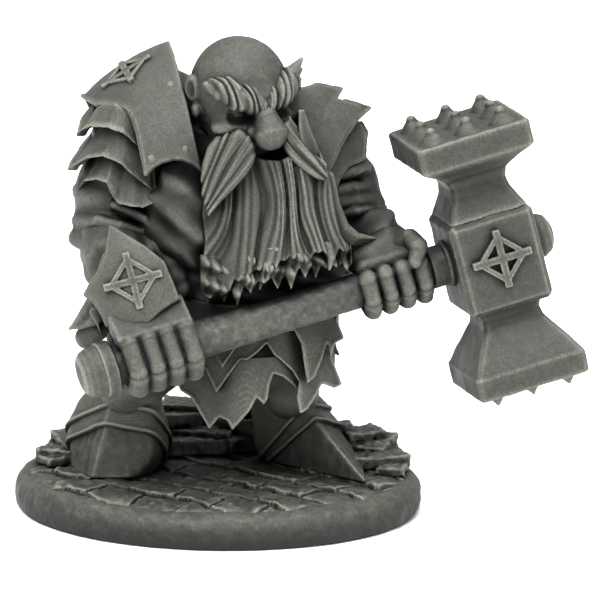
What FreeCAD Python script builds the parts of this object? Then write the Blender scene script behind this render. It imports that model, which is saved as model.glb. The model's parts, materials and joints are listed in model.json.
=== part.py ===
"""Tabletop miniature: a bald, bearded warrior with a two-handed war hammer on an oval scenic base.

Millimetres, +Z up. The origin is the centre of the base's flat underside, +X runs along the base's long
axis and -Y is the display side. Every piece is a separate casting, located by pegs, bores and flat seats.
"""

import FreeCAD
import Part
import math
import os

V = FreeCAD.Vector
os.makedirs("parts", exist_ok=True)

# ---- driving dimensions -------------------------------------------------------------------------
BASE_LENGTH = 25.4
BASE_DEPTH = 20.0
BASE_HEIGHT = 2.4
BASE_TURN = -7.0  # the oval's long axis, degrees about +Z
RIM = 1.1  # rim left around the paving pocket
POCKET_DEPTH = 0.5
COURSE_TURN = -36.0  # the courses of flagstones cross the base at this angle
GROUND = 2.7  # top of the paving

FACING = 16.0  # the figure looks this far round from -Y towards +X, degrees
HAFT_YAW, HAFT_PITCH, HAFT_ROLL = 16.0, 13.0, 4.0
HAFT_POINT = V(3.25, -6.37, 14.05)
HAFT_START, HAFT_END = -11.4, 17.5  # along the haft from HAFT_POINT
HAFT_R_GRIP, HAFT_R_HEAD = 1.28, 1.0
BLOCK_AT = 14.55  # the hammer block's centre along the haft
BLOCK_WIDE, BLOCK_TALL, BLOCK_DEEP = 5.5, 5.8, 5.5
SLAB_WIDE = 7.3

PEG_CLEARANCE = 0.05
SHEET = 0.55  # thickness of an armour plate
SKIRT_SEAT = 9.6  # height at which the trunk stands on the skirt casting

TORSO_AT = V(1.2, -0.1, 0)
HIPS_AT = V(1.8, -0.3, 0)
SKULL_AT, SKULL_R = V(1.35, -3.4, 28.0), 3.1
NECK_LOW, NECK_HIGH = V(1.25, -1.2, 23.6), V(1.35, -2.6, 26.2)

R_SHOULDER, R_ELBOW, R_WRIST = V(-4.9, -1.2, 24.4), V(-7.2, -1.3, 18.7), V(-4.9, -7.3, 14.9)
L_SHOULDER, L_ELBOW, L_WRIST = V(6.6, 1.3, 22.6), V(9.0, 1.9, 18.2), V(10.6, -2.4, 16.6)
R_HIP, R_KNEE_TOP, R_ANKLE = V(-1.0, -0.4, 11.0), V(-5.7, -0.2, 7.2), V(-6.2, 0.3, 4.6)
L_HIP, L_KNEE_TOP, L_ANKLE = V(3.6, -0.2, 11.0), V(4.5, 0.5, 7.6), V(5.3, 0.4, 4.8)
R_TOE, L_TOE = V(-6.9, -1.1, 4.3), V(7.9, -2.3, 4.1)

R_HAND_AT, L_HAND_AT = -7.45, 8.05  # hand centres along the haft
FINGER_R, FINGER_PITCH = 0.52, 1.16
WRIST_PIN = 0.9

nodes = {}


# ---- frames and primitive solids ----------------------------------------------------------------
def turned(yaw, pitch=0.0, roll=0.0):
    """Unit vectors (along, front, up) of a frame turned by yaw, then pitch, then roll, in degrees."""
    y, p, r = (math.radians(x) for x in (yaw, pitch, roll))
    along = V(math.cos(p) * math.cos(y), math.cos(p) * math.sin(y), math.sin(p))
    level = V(math.sin(y), -math.cos(y), 0)
    raised = level.cross(along) * -1 if level.cross(along).z < 0 else level.cross(along)
    up = raised * math.cos(r) - level * math.sin(r)
    front = level * math.cos(r) + raised * math.sin(r)
    return along, front, up


HAFT, HAFT_FRONT, HAFT_UP = turned(HAFT_YAW, HAFT_PITCH, HAFT_ROLL)
BODY_SIDE, BODY_FRONT, BODY_UP = turned(FACING)


def haft_at(t):
    return HAFT_POINT + HAFT * t


def haft_r(t):
    share = (t - HAFT_START) / (HAFT_END - HAFT_START)
    return HAFT_R_GRIP + (HAFT_R_HEAD - HAFT_R_GRIP) * share


def rod(a, b, ra, rb=None):
    """A cylinder or cone from a to b."""
    rb = ra if rb is None else rb
    axis = b - a
    if abs(ra - rb) < 1e-6:
        return Part.makeCylinder(ra, axis.Length, a, axis)
    return Part.makeCone(ra, rb, axis.Length, a, axis)


def ball(c, r):
    return Part.makeSphere(r, c)


def capsule(a, b, ra, rb=None):
    rb = ra if rb is None else rb
    return fused(rod(a, b, ra, rb), ball(a, ra), ball(b, rb))


def fused(*shapes):
    whole = shapes[0]
    if len(shapes) > 1:
        whole = whole.fuse(list(shapes[1:])).removeSplitter()
    return whole


def block(centre, size, frame):
    """A box with its centre and its (along, front, up) frame."""
    along, front, up = frame
    l, d, h = size
    corner = centre - along * (l / 2) - front * (d / 2) - up * (h / 2)
    points = [corner, corner + along * l, corner + along * l + front * d, corner + front * d]
    return Part.Face(Part.makePolygon(points + [points[0]])).extrude(up * h)


def square_wire(centre, wide, frame, corner=0.0):
    along, front, _ = frame
    h = wide / 2
    k = h - corner
    raw = [(k, h), (-k, h), (-h, k), (-h, -k), (-k, -h), (k, -h), (h, -k), (h, k)]
    points = [centre + along * x + front * y for x, y in raw]
    return Part.makePolygon(points + [points[0]])


def flare(base, axis, rows, frame, corner=0.25):
    """A stack of square sections; rows are (distance along axis, width)."""
    parts = []
    for (z0, w0), (z1, w1) in zip(rows, rows[1:]):
        wires = [square_wire(base + axis * z, w, frame, corner) for z, w in ((z0, w0), (z1, w1))]
        parts.append(Part.makeLoft(wires, True, True))
    return fused(*parts)


def sheet(points, push, thickness=SHEET):
    """A thin plate from a fan of triangles round points[0], thickened along push."""
    push = V(push).normalize() * thickness
    prisms = []
    for a, b in zip(points[1:], points[2:]):
        prisms.append(Part.Face(Part.makePolygon([points[0], a, b, points[0]])).extrude(push))
    return fused(*prisms)


def ring(centre, axis, profile, start=None, sweep=360.0):
    """profile (radius, height) turned about axis through centre, from the start direction."""
    axis = V(axis).normalize()
    start = start or (V(1, 0, 0) if abs(axis.x) < 0.9 else V(0, 1, 0))
    out = (start - axis * start.dot(axis)).normalize()
    points = [centre + out * r + axis * h for r, h in profile]
    face = Part.Face(Part.makePolygon(points + [points[0]]))
    return face.revolve(centre, axis, sweep)


def turned_about(direction, axis, degrees):
    return FreeCAD.Rotation(axis, degrees).multVec(direction)


def peg(a, b, r):
    return rod(a, b, r)


def socket(a, b, r):
    """The hole for peg(a, b, r), with clearance round it and past its end."""
    axis = (b - a).normalize()
    return rod(a - axis * 0.4, b + axis * PEG_CLEARANCE, r + PEG_CLEARANCE)


def largest(shape):
    return max(shape.Solids, key=lambda s: s.Volume)


def shoulder_pin(shoulder):
    """The inner end of the peg that holds an arm to the trunk."""
    return shoulder + (TORSO_AT + V(0, 0, shoulder.z - 1) - shoulder).normalize() * 2.6


def add(name, shape, *cutters):
    """Keeps a node's solids, less the shapes that fill part of its space."""
    if cutters:
        shape = shape.cut(list(cutters))
    solids = [s for s in shape.Solids if s.Volume > 0.02]
    nodes[name] = solids[0] if len(solids) == 1 else Part.makeCompound(solids)
    return nodes[name]


# ---- base ---------------------------------------------------------------------------------------
def oval(length, depth, z, height):
    curve = Part.Ellipse(V(0, 0, z), length / 2, depth / 2)
    face = Part.Face(Part.Wire(curve.toShape()))
    solid = face.extrude(V(0, 0, height))
    solid.rotate(V(0, 0, 0), V(0, 0, 1), BASE_TURN)
    return solid


def rounded_plinth():
    solid = oval(BASE_LENGTH, BASE_DEPTH, 0, BASE_HEIGHT)
    top = [e for e in solid.Edges if abs(e.BoundBox.ZMin - BASE_HEIGHT) < 1e-6 and e.BoundBox.ZLength < 1e-6]
    solid = solid.makeFillet(1.0, top)
    low = [e for e in solid.Edges if e.BoundBox.ZMax < 1e-6]
    return solid.makeFillet(0.45, low)


def paving_slab():
    """One insert with the joints between the flagstones scored into its top."""
    length, depth = BASE_LENGTH - 2 * RIM, BASE_DEPTH - 2 * RIM
    slab = oval(length - 0.1, depth - 0.1, BASE_HEIGHT - POCKET_DEPTH, GROUND - BASE_HEIGHT + POCKET_DEPTH)
    course, stone, score, joint = 2.4, 3.1, 0.18, 0.14
    cuts = []
    for i in range(-4, 5):
        cuts.append(Part.makeBox(length, joint, score, V(-length / 2, course * i, GROUND - score)))
        for k in range(-4, 5):
            x = stone * (k + 0.5 * (i % 2))
            cuts.append(Part.makeBox(joint, course, score, V(x, course * i, GROUND - score)))
    for cut in cuts:
        cut.rotate(V(0, 0, 0), V(0, 0, 1), COURSE_TURN)
    return slab.cut(cuts)


def rock(centre, size, turn, taper=0.82, sides=6):
    """An angular slab of stone: a tapered prism with uneven corners."""
    wires = []
    for z, share in ((0, 1.0), (size[2], taper)):
        points = []
        for i in range(sides):
            angle = 2 * math.pi * (i + 0.18 * (-1) ** i) / sides
            reach = share * (1 + 0.1 * (-1) ** (i // 2))
            points.append(V(size[0] / 2 * reach * math.cos(angle), size[1] / 2 * reach * math.sin(angle), z))
        wires.append(Part.makePolygon(points + [points[0]]))
    solid = Part.makeLoft(wires, True, True)
    solid.rotate(V(0, 0, 0), V(0, 0, 1), turn)
    solid.translate(centre)
    return solid


def stack(*rocks):
    return fused(*[rock(V(*c), s, t) for c, s, t in rocks])


def build_base():
    pegs = [socket(V(p.x, p.y, GROUND), V(p.x, p.y, 0.9), 0.8) for p in (R_ANKLE, L_ANKLE)]
    pocket = oval(BASE_LENGTH - 2 * RIM, BASE_DEPTH - 2 * RIM, BASE_HEIGHT - POCKET_DEPTH, POCKET_DEPTH + 1)
    add("base_plinth", rounded_plinth(), pocket, *pegs)
    add("paving", paving_slab(), *pegs)
    z = GROUND
    ledge = stack(((-1.0, 4.3, z), (6.4, 4.6, 0.7), 8), ((-1.2, 5.0, z + 0.6), (5.4, 3.4, 0.7), -12),
                  ((-1.6, 5.4, z + 1.2), (3.8, 2.4, 0.8), 20))
    right = stack(((9.2, 1.6, z), (3.6, 4.6, 0.5), 12), ((8.8, 2.4, z + 0.4), (3.0, 3.2, 0.5), -20),
                  ((8.4, 3.2, z + 0.8), (2.0, 2.2, 0.5), 30))
    left = stack(((-9.2, 2.4, z), (3.2, 4.0, 0.5), -10), ((-8.8, 3.2, z + 0.4), (2.4, 2.6, 0.5), 25))
    add("rock_ledge", ledge)
    add("right_side_rubble", left)
    add("left_side_rubble", right)


# ---- legs and boots -----------------------------------------------------------------------------
def above_ground(shape):
    return shape.common(Part.makeBox(40, 40, 20, V(-20, -20, GROUND)))


def boot(ankle, toe, top, heel_r, toe_r, shaft_r, cuff_r):
    body = above_ground(fused(capsule(ankle, toe, heel_r, toe_r), rod(ankle, top, shaft_r, cuff_r)))
    return fused(body, peg(V(ankle.x, ankle.y, GROUND + 0.4), V(ankle.x, ankle.y, 0.9), 0.8))


def build_legs():
    sets = (("right", R_HIP, R_KNEE_TOP, R_ANKLE, R_TOE, 2.6, 2.0, 2.45, 2.3),
            ("left", L_HIP, L_KNEE_TOP, L_ANKLE, L_TOE, 2.35, 1.5, 2.3, 2.35))
    rocks = [nodes["rock_ledge"], nodes["right_side_rubble"], nodes["left_side_rubble"]]
    for side, hip, top, ankle, toe, heel_r, toe_r, shaft_r, cuff_r in sets:
        axis = (top - ankle).normalize()
        length = (top - ankle).Length
        pin_end = top - axis * 1.4
        shape = boot(ankle, toe, top, heel_r, toe_r, shaft_r, cuff_r)
        shoe = add(side + "_boot", shape, socket(top, pin_end, 0.8), *rocks)
        low, high = length - 1.5, length - 0.1
        rows = [(1.5, low), (cuff_r + 0.45, low), (cuff_r + 0.55, high), (1.5, high)]
        cuff = above_ground(ring(ankle, axis, rows))
        cuff = add(side + "_boot_cuff", cuff, shoe, socket(top, pin_end, 0.8))
        instep = (toe - ankle).normalize()
        girth = (heel_r + toe_r) / 2
        rows = [(girth - 0.7, 0), (girth + 0.5, 0), (girth + 0.35, 0.9), (girth - 0.7, 0.9)]
        strap = above_ground(ring(ankle + instep, instep, rows)).cut([shoe, cuff, *rocks])
        add(side + "_boot_strap", largest(strap))
        thigh = fused(rod(top, hip, 1.95, 2.3), ball(hip, 2.3), peg(top, pin_end, 0.8))
        add(side + "_leg", thigh, shoe, cuff)


# ---- body ---------------------------------------------------------------------------------------
def build_torso():
    rows = [(0, SKIRT_SEAT), (4.1, SKIRT_SEAT), (4.7, 11.5), (5.0, 14.0), (5.2, 17.5), (5.1, 20.5),
            (4.4, 22.8), (3.0, 24.4), (0, 24.8)]
    barrel = ring(TORSO_AT, V(0, 0, 1), rows, V(1, 0, 0))
    ends = TORSO_AT - BODY_SIDE * 3.6 + V(0, 0, 20.6), TORSO_AT + BODY_SIDE * 3.4 + V(0, 0, 20.2)
    yoke = capsule(*ends, 3.5, 3.4)
    back = ball(TORSO_AT - BODY_FRONT * 1.7 + V(0, 0, 20.0), 4.4)
    pegs = [socket(NECK_HIGH, NECK_LOW - V(0, 0, 1.2), 1.0)]
    pegs += [socket(a, shoulder_pin(a), 0.8) for a in (R_SHOULDER, L_SHOULDER)]
    add("torso", fused(barrel, yoke, back), *pegs, nodes["right_leg"], nodes["left_leg"])


def dagged(solid, hem, tip, r_hem, points, turn):
    """Cuts a flared tier's hem into hanging points."""
    axis = V(0, 0, 1)
    notches = []
    for i in range(points):
        out = turned_about(V(1, 0, 0), axis, turn + 360.0 * i / points)
        side = axis.cross(out)
        half = math.pi * r_hem / points * 0.96
        c = HIPS_AT + out * (r_hem - 2.5)
        low = c + V(0, 0, tip - 0.1)
        corners = [low - side * half, low + side * half, c + V(0, 0, hem)]
        notches.append(Part.Face(Part.makePolygon(corners + [corners[0]])).extrude(out * 5))
    return solid.cut(notches)


def build_skirt():
    pieces = ("_leg", "_boot", "_boot_cuff", "_boot_strap")
    below = [side + piece for side in ("right", "left") for piece in pieces]
    blockers = [nodes["torso"], *[nodes[n] for n in below]]
    blockers.append(rod(haft_at(HAFT_START), haft_at(HAFT_END), HAFT_R_GRIP + 0.1, HAFT_R_HEAD + 0.1))
    axis = V(0, 0, 1)
    upper = ring(HIPS_AT, axis, [(5.35, 14.6), (6.1, 10.4), (6.1 - SHEET, 10.4), (5.35 - SHEET, 14.6)])
    middle = ring(HIPS_AT, axis, [(5.1, 12.2), (6.0, 7.9), (6.0 - SHEET, 7.9), (5.1 - SHEET, 12.2)])
    rows = [(0, SKIRT_SEAT), (4.8, SKIRT_SEAT), (5.5, 6.4), (4.2, 6.4), (3.2, 8.4), (0, 8.4)]
    lower = ring(HIPS_AT, axis, rows)
    for name, shape, hem, tip, r_hem, points, turn in (("skirt_upper_tier", upper, 12.4, 10.4, 6.1, 11, 10),
                                                       ("skirt_middle_tier", middle, 9.8, 7.9, 6.0, 10, 30),
                                                       ("skirt_lower_tier", lower, 8.2, 6.4, 5.5, 9, 0)):
        blockers.append(add(name, dagged(shape, hem, tip, r_hem, points, turn), *blockers))


# ---- head ---------------------------------------------------------------------------------------
def face_at(side, front, up):
    """A point on the head: distances from the skull's centre in the figure's own frame."""
    side_v, front_v, up_v = turned(FACING + 8)
    return SKULL_AT + side_v * side + front_v * front + up_v * up


def build_head():
    skull = ball(SKULL_AT, SKULL_R)
    jaw = capsule(face_at(0, 0.6, -1.6), face_at(0, 1.5, -3.2), 2.35, 1.7)
    nose = capsule(face_at(0, 2.7, -0.6), face_at(0, 3.4, -1.7), 0.5, 0.8)
    ears = [capsule(face_at(s * 3.0, -0.2, -1.3), face_at(s * 3.5, -0.7, 0.2), 0.45, 0.5) for s in (-1, 1)]
    neck = rod(NECK_LOW, NECK_HIGH, 1.9)
    head = fused(skull, jaw, nose, neck, *ears)
    head = head.cut(nodes["torso"])
    add("head", fused(head, peg(NECK_HIGH, NECK_LOW - V(0, 0, 1.2), 1.0)))
    brows = [capsule(face_at(s * 0.75, 3.0, 0.55), face_at(s * 2.3, 2.2, 1.0), 0.42, 0.36) for s in (-1, 1)]
    add("eyebrows", Part.makeCompound(brows), nodes["head"])
    halves = []
    for s in (-1, 1):
        inner = face_at(s * 0.65, 3.2, -2.7)
        outer = face_at(s * 2.3, 2.6, -5.2)
        halves.append(capsule(inner, outer, 0.6, 0.35))
    add("moustache", Part.makeCompound(halves), nodes["head"])


def beard_slab(rows):
    """A lofted block; rows are (height, centre along the front, half width, half thickness)."""
    parts = []
    for (z0, f0, w0, d0), (z1, f1, w1, d1) in zip(rows, rows[1:]):
        wires = []
        for z, f, w, d in ((z0, f0, w0, d0), (z1, f1, w1, d1)):
            c = V(BEARD_AT.x, BEARD_AT.y, z) + BODY_FRONT * f
            raw = [(w, -d), (w, d * 0.3), (w * 0.55, d), (-w * 0.55, d), (-w, d * 0.3), (-w, -d)]
            points = [c + BODY_SIDE * x + BODY_FRONT * y for x, y in raw]
            wires.append(Part.makePolygon(points + [points[0]]))
        parts.append(Part.makeLoft(wires, True, True))
    return fused(*parts)


BEARD_AT = V(1.9, -0.6, 0)


def build_beard():
    blockers = [nodes["torso"], nodes["head"], nodes["moustache"]]
    rows = [(25.6, 4.6, 2.2, 1.2), (23.6, 5.2, 2.9, 1.5), (20.5, 5.6, 3.6, 1.5), (17.6, 5.9, 4.5, 1.3)]
    beard = add("beard", beard_slab(rows), *blockers)
    rows = [(17.5, 5.7, 4.1, 1.2), (16.0, 5.7, 3.6, 0.8)]
    haft = rod(haft_at(HAFT_START), haft_at(HAFT_END), HAFT_R_GRIP + 0.2)
    add("beard_fringe", beard_slab(rows), nodes["torso"], beard, haft)


# ---- shoulder armour ----------------------------------------------------------------------------
def lame(top, axis, start, sweep, r_top, r_low, height):
    rows = [(r_top, 0), (r_low, height), (r_low - SHEET, height), (r_top - SHEET, 0)]
    return ring(top, axis, rows, start, sweep)


def build_right_shoulder():
    crest, tip = V(-2.88, -2.0, 30.7), V(-8.44, -1.2, 26.8)
    front = [V(-5.1, -4.7, 27.1), crest, V(-0.95, -5.0, 23.3), V(-2.4, -5.7, 24.0), V(-3.8, -5.7, 22.5)]
    outer = [V(-5.1, -4.7, 27.1), crest, V(-3.6, 1.8, 29.2), tip]
    push = V(0.45, 0.72, -0.53)
    plate = fused(sheet(front, push), sheet(outer, push))
    add("right_shoulder_plate", plate, nodes["head"], nodes["torso"])
    axis = (R_ELBOW - R_SHOULDER).normalize()
    blockers = [nodes["right_shoulder_plate"], nodes["torso"]]
    for i, (r_top, r_low) in enumerate(((3.0, 3.8), (2.9, 3.9), (2.6, 3.4))):
        start = turned_about(V(-1, 0, 0), axis, -105)
        top = R_SHOULDER - axis * 1.2 + axis * (2.1 * i)
        made = add(f"right_lame_{i + 1}", lame(top, axis, start, 205, r_top, r_low, 2.5), *blockers)
        blockers.append(made)
    rivets = []
    for p in (V(-1.9, -3.9, 27.0), V(-1.35, -4.9, 24.2), V(-3.35, -5.5, 24.4)):
        rivets.append(rod(p + push.normalize() * 0.3, p - push.normalize() * 0.45, 0.3, 0.2))
    add("shoulder_rivets", Part.makeCompound(rivets), nodes["right_shoulder_plate"], nodes["head"])
    centre = V(-5.0, -2.6, 28.6)
    side = (crest - V(-5.1, -4.7, 27.1)).normalize()
    out = push.normalize() * -1
    frame = (side, out, side.cross(out))
    badge = fused(block(centre, (2.2, 0.9, 0.5), frame), block(centre, (0.5, 0.9, 2.2), frame))
    add("shoulder_emblem", badge, nodes["right_shoulder_plate"])


def build_left_shoulder():
    a, b = V(4.6, -1.6, 27.6), V(7.1, 0.0, 27.0)
    front = [a, b, V(6.9, -1.9, 23.6), V(6.2, -2.9, 22.2), V(4.9, -3.4, 23.4)]
    outer = [a, V(4.4, 2.2, 27.0), V(7.2, 3.0, 26.2), b]
    push = V(-0.5, 0.7, -0.5)
    around = [nodes["head"], nodes["torso"], nodes["beard"]]
    add("left_shoulder_plate", fused(sheet(front, push), sheet(outer, push)), *around)
    axis = (L_ELBOW - L_SHOULDER).normalize()
    blockers = [nodes["left_shoulder_plate"], nodes["torso"], nodes["beard"]]
    for i, (r_top, r_low) in enumerate(((2.8, 3.3), (2.3, 3.1))):
        start = turned_about(V(1, 0, 0), axis, -100)
        top = L_SHOULDER - axis * 2.2 + axis * (2.0 * i)
        made = add(f"left_lame_{i + 1}", lame(top, axis, start, 200, r_top, r_low, 2.2), *blockers)
        blockers.append(made)


# ---- arms and hands -----------------------------------------------------------------------------
def build_arms():
    sides = (("right", R_SHOULDER, R_ELBOW, R_WRIST, 2.6, 1.9, 1.5),
             ("left", L_SHOULDER, L_ELBOW, L_WRIST, 2.0, 1.75, 1.4))
    for side, shoulder, elbow, wrist, ra, rb, rc in sides:
        plates = [nodes[n] for n in nodes if n.startswith(side + "_lame") or n == side + "_shoulder_plate"]
        around = [nodes["torso"], nodes["beard"], *plates]
        along = (wrist - elbow).normalize()
        seat = elbow + along * 0.9
        arm = capsule(shoulder, elbow, ra, rb).cut([*around, rod(seat, wrist, 4.0)])
        arm = fused(largest(arm), peg(shoulder, shoulder_pin(shoulder), 0.8))
        add(side + "_upper_arm", arm, socket(seat, seat - along * 1.2, 0.6))
        lower = largest(rod(seat, wrist, rb - 0.15, rc).cut([*around, nodes[side + "_upper_arm"]]))
        lower = fused(lower, peg(seat + along * 0.5, seat - along * 1.2, 0.6))
        add(side + "_forearm", lower, socket(wrist, wrist - along * WRIST_PIN, 0.55))


def sector(t0, t1, r_in, r_out, start, sweep):
    """Part of a thick tube round the haft, from the start angle (0 is the haft's front, 90 its top)."""
    begin = turned_about(HAFT_FRONT, HAFT, -start)
    return ring(haft_at(t0), HAFT, [(r_in, 0), (r_out, 0), (r_out, t1 - t0), (r_in, t1 - t0)], begin, -sweep)


def finger(t, start, sweep, r=FINGER_R):
    """A curled finger: a round section turned part of the way round the haft."""
    reach = haft_r(t) + r
    begin = turned_about(HAFT_FRONT, HAFT, -start)
    centre = haft_at(t) + begin * reach
    tangent = HAFT.cross(begin)
    face = Part.Face(Part.Wire(Part.makeCircle(r, centre, tangent)))
    curl = face.revolve(haft_at(t), HAFT, -sweep)
    end = haft_at(t) + turned_about(begin, HAFT, -sweep) * reach
    return fused(curl, ball(centre, r), ball(end, r))


def hand(at, wrist, palm, curl, thumb):
    """Four fingers, a palm and a thumb round the haft; palm and curl are (start, sweep) angles."""
    half = 2 * FINGER_PITCH
    fingers = [finger(at + (i - 1.5) * FINGER_PITCH, *curl) for i in range(4)]
    back = sector(at - half, at + half, haft_r(at) - 0.1, haft_r(at) + 1.25, *palm)
    middle = haft_at(at) + turned_about(HAFT_FRONT, HAFT, -(palm[0] + palm[1] / 2)) * (haft_r(at) + 0.9)
    heel = capsule(middle, wrist, 1.3, 1.35)
    return fused(back, heel, finger(at + thumb[0], thumb[1], thumb[2], 0.6), *fingers)


def build_hands():
    ends = haft_at(HAFT_START - 1), haft_at(HAFT_END + 1)
    bore = rod(ends[0], ends[1], haft_r(HAFT_START - 1) + 0.02, haft_r(HAFT_END + 1) + 0.02)
    sides = (("right", hand(R_HAND_AT, R_WRIST, (15, 110), (0, -150), (0.6, 100, 130)), R_ELBOW, R_WRIST),
             ("left", hand(L_HAND_AT, L_WRIST, (50, 130), (40, -170), (0.9, 120, 60)), L_ELBOW, L_WRIST))
    around = [nodes[n] for n in ("torso", "beard", "beard_fringe", "skirt_upper_tier", "skirt_middle_tier")]
    for side, shape, elbow, wrist in sides:
        along = (wrist - elbow).normalize()
        sleeve = rod(wrist - along * 3, wrist, 2.6)
        shape = largest(shape.cut([bore, sleeve, *around]))
        add(side + "_hand", fused(shape, peg(wrist + along * 0.3, wrist - along * WRIST_PIN, 0.55)))


def build_bracer():
    push = V(0.25, 0.93, -0.1)
    rim = [V(-6.7, -5.0, 19.5), V(-8.2, -5.6, 15.9), V(-6.9, -7.6, 14.0), V(-3.7, -8.8, 14.5),
           V(-1.9, -8.0, 16.4), V(-2.6, -6.6, 18.4)]
    plate = sheet([V(-5.0, -7.4, 17.0), *rim, rim[0]], push, 0.6)
    arm = [nodes["right_forearm"], nodes["right_hand"], nodes["right_upper_arm"]]
    bracer = add("right_bracer", largest(plate.cut([*arm, nodes["beard"], nodes["torso"]])))
    spurs = [sheet([V(-8.1, -4.6, 17.2), V(-9.3, -3.6, 14.6), V(-7.6, -4.6, 13.6)], V(0.4, 0.9, 0)),
             sheet([V(-7.6, -3.2, 15.8), V(-8.6, -2.6, 13.4), V(-7.0, -3.6, 12.9)], V(0.4, 0.9, 0))]
    add("bracer_spurs", Part.makeCompound(spurs), bracer, *arm)
    side = (R_WRIST - R_ELBOW).cross(push).normalize()
    out = push.normalize() * -1
    frame = (side, out, side.cross(out))
    centre = V(-4.9, -7.75, 16.6)
    badge = fused(block(centre, (2.6, 0.9, 0.5), frame), block(centre, (0.5, 0.9, 2.2), frame))
    add("bracer_emblem", badge, bracer, *arm)


# ---- war hammer ---------------------------------------------------------------------------------
def build_haft():
    haft = rod(haft_at(HAFT_START), haft_at(HAFT_END), HAFT_R_GRIP, HAFT_R_HEAD)
    stub = peg(haft_at(HAFT_START - 0.8), haft_at(HAFT_START), 0.6)
    add("hammer_haft", fused(haft, stub))
    band = ring(haft_at(HAFT_START + 0.1), HAFT, [(0.9, 0), (1.65, 0.1), (1.7, 0.9), (0.9, 1.0)])
    add("pommel_band", band, nodes["hammer_haft"])
    rows = [(0, 0.05), (1.45, 0.05), (1.62, -0.5), (1.45, -1.1), (0.9, -1.45), (0, -1.55)]
    seat = socket(haft_at(HAFT_START), haft_at(HAFT_START - 0.8), 0.6)
    add("pommel_cap", ring(haft_at(HAFT_START), HAFT, rows), nodes["hammer_haft"], nodes["pommel_band"], seat)
    rows = [(0.8, 0), (1.3, 0), (1.3, 0.75), (1.55, 0.8), (1.55, 1.0), (0.8, 1.0)]
    add("haft_collar", ring(haft_at(10.75), HAFT, rows), nodes["hammer_haft"], nodes["left_hand"])
    rows = [(0, 0), (1.4, 0), (1.35, 0.9), (0.9, 1.3), (0, 1.35)]
    add("haft_end_boss", ring(haft_at(BLOCK_AT + BLOCK_WIDE / 2), HAFT, rows), nodes["hammer_haft"])


def build_hammer_head():
    centre = haft_at(BLOCK_AT)
    frame = (HAFT, HAFT_FRONT, HAFT_UP)
    half = BLOCK_TALL / 2
    bore = rod(haft_at(10), haft_at(19), haft_r(10) + 0.03, haft_r(19) + 0.03)
    body = block(centre, (BLOCK_WIDE, BLOCK_DEEP, BLOCK_TALL), frame)
    body = body.makeChamfer(0.3, body.Edges)
    tenons = [(centre + HAFT_UP * (s * half), centre + HAFT_UP * (s * (half - 1.2))) for s in (1, -1)]
    add("hammer_block", body, bore, *[socket(a, b, 0.8) for a, b in tenons])
    slab = SLAB_WIDE
    faces = (("upper", HAFT_UP, tenons[0], ((half, 5.0), (5.0, 3.6), (6.55, 6.7), (6.6, slab), (8.2, slab))),
             ("lower", -HAFT_UP, tenons[1], ((half, 4.4), (3.5, 3.9), (6.8, 6.7), (6.85, slab), (8.4, slab))))
    for name, axis, (a, b), rows in faces:
        shape = fused(flare(centre, axis, rows, frame), peg(a + axis * 0.3, b, 0.8))
        add(name + "_striker", shape)
        top = centre + axis * rows[-1][0]
        spikes = []
        for i in (-1, 0, 1):
            for k in (-1, 0, 1):
                foot = top + HAFT * (i * 2.35) + HAFT_FRONT * (k * 2.35)
                spikes.append(rod(foot, foot + axis * 1.15, 0.62, 0.12))
        add(name + "_spikes", Part.makeCompound(spikes))
    badges = []
    tilted = (turned_about(HAFT, HAFT_FRONT, 45), HAFT_FRONT, turned_about(HAFT_UP, HAFT_FRONT, 45))
    for out in (HAFT_FRONT, HAFT_FRONT * -1):
        face = centre + out * (BLOCK_DEEP / 2 + 0.2)
        lozenge = block(face, (2.9, 0.4, 2.9), tilted).cut(block(face, (1.9, 1.0, 1.9), tilted))
        bars = block(face, (3.4, 0.4, 0.5), frame), block(face, (0.5, 0.4, 3.4), frame)
        badges.append(fused(lozenge, *bars))
    add("hammer_emblems", Part.makeCompound(badges), nodes["hammer_block"])


# ---- assembly -----------------------------------------------------------------------------------
build_base()
build_legs()
build_torso()
build_skirt()
build_head()
build_beard()
build_right_shoulder()
build_left_shoulder()
build_arms()
build_hands()
build_bracer()
build_haft()
build_hammer_head()

for name, shape in nodes.items():
    assert shape.isValid() and shape.Solids, name
    shape.exportStep(f"parts/{name}.step")
    print(f"{name:22s} solids {len(shape.Solids)} volume {shape.Volume:9.2f}")
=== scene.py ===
"""Looks for a cast resin tabletop miniature: a bearded warrior with a two-handed war hammer.

Every casting is sculpted as a distance field in millimetres, turned into a mesh and placed by its CAD node.
"""
import json
import math
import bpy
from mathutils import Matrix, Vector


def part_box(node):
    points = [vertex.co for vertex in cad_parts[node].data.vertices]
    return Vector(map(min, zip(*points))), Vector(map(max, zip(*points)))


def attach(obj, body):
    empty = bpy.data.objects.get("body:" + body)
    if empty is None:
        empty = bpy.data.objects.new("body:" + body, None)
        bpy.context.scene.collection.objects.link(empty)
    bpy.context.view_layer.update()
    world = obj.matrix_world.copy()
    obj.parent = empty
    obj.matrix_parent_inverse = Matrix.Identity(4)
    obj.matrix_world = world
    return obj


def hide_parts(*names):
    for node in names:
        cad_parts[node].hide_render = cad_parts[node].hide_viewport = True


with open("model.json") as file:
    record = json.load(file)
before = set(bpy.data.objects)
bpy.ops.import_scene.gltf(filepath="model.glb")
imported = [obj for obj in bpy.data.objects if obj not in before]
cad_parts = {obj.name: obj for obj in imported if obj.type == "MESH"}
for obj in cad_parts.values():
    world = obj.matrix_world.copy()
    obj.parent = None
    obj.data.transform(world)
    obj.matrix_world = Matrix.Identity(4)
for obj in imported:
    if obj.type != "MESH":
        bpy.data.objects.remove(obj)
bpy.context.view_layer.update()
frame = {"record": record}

from concurrent.futures import ThreadPoolExecutor
from functools import cache

import bpy
import numpy as np
from mathutils import Matrix, Vector

MM = 0.001
COARSE = 1.0
ELEVATION = math.radians(16)  # how far above level the display side is looked at from
EC, ES = math.cos(ELEVATION), math.sin(ELEVATION)


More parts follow.
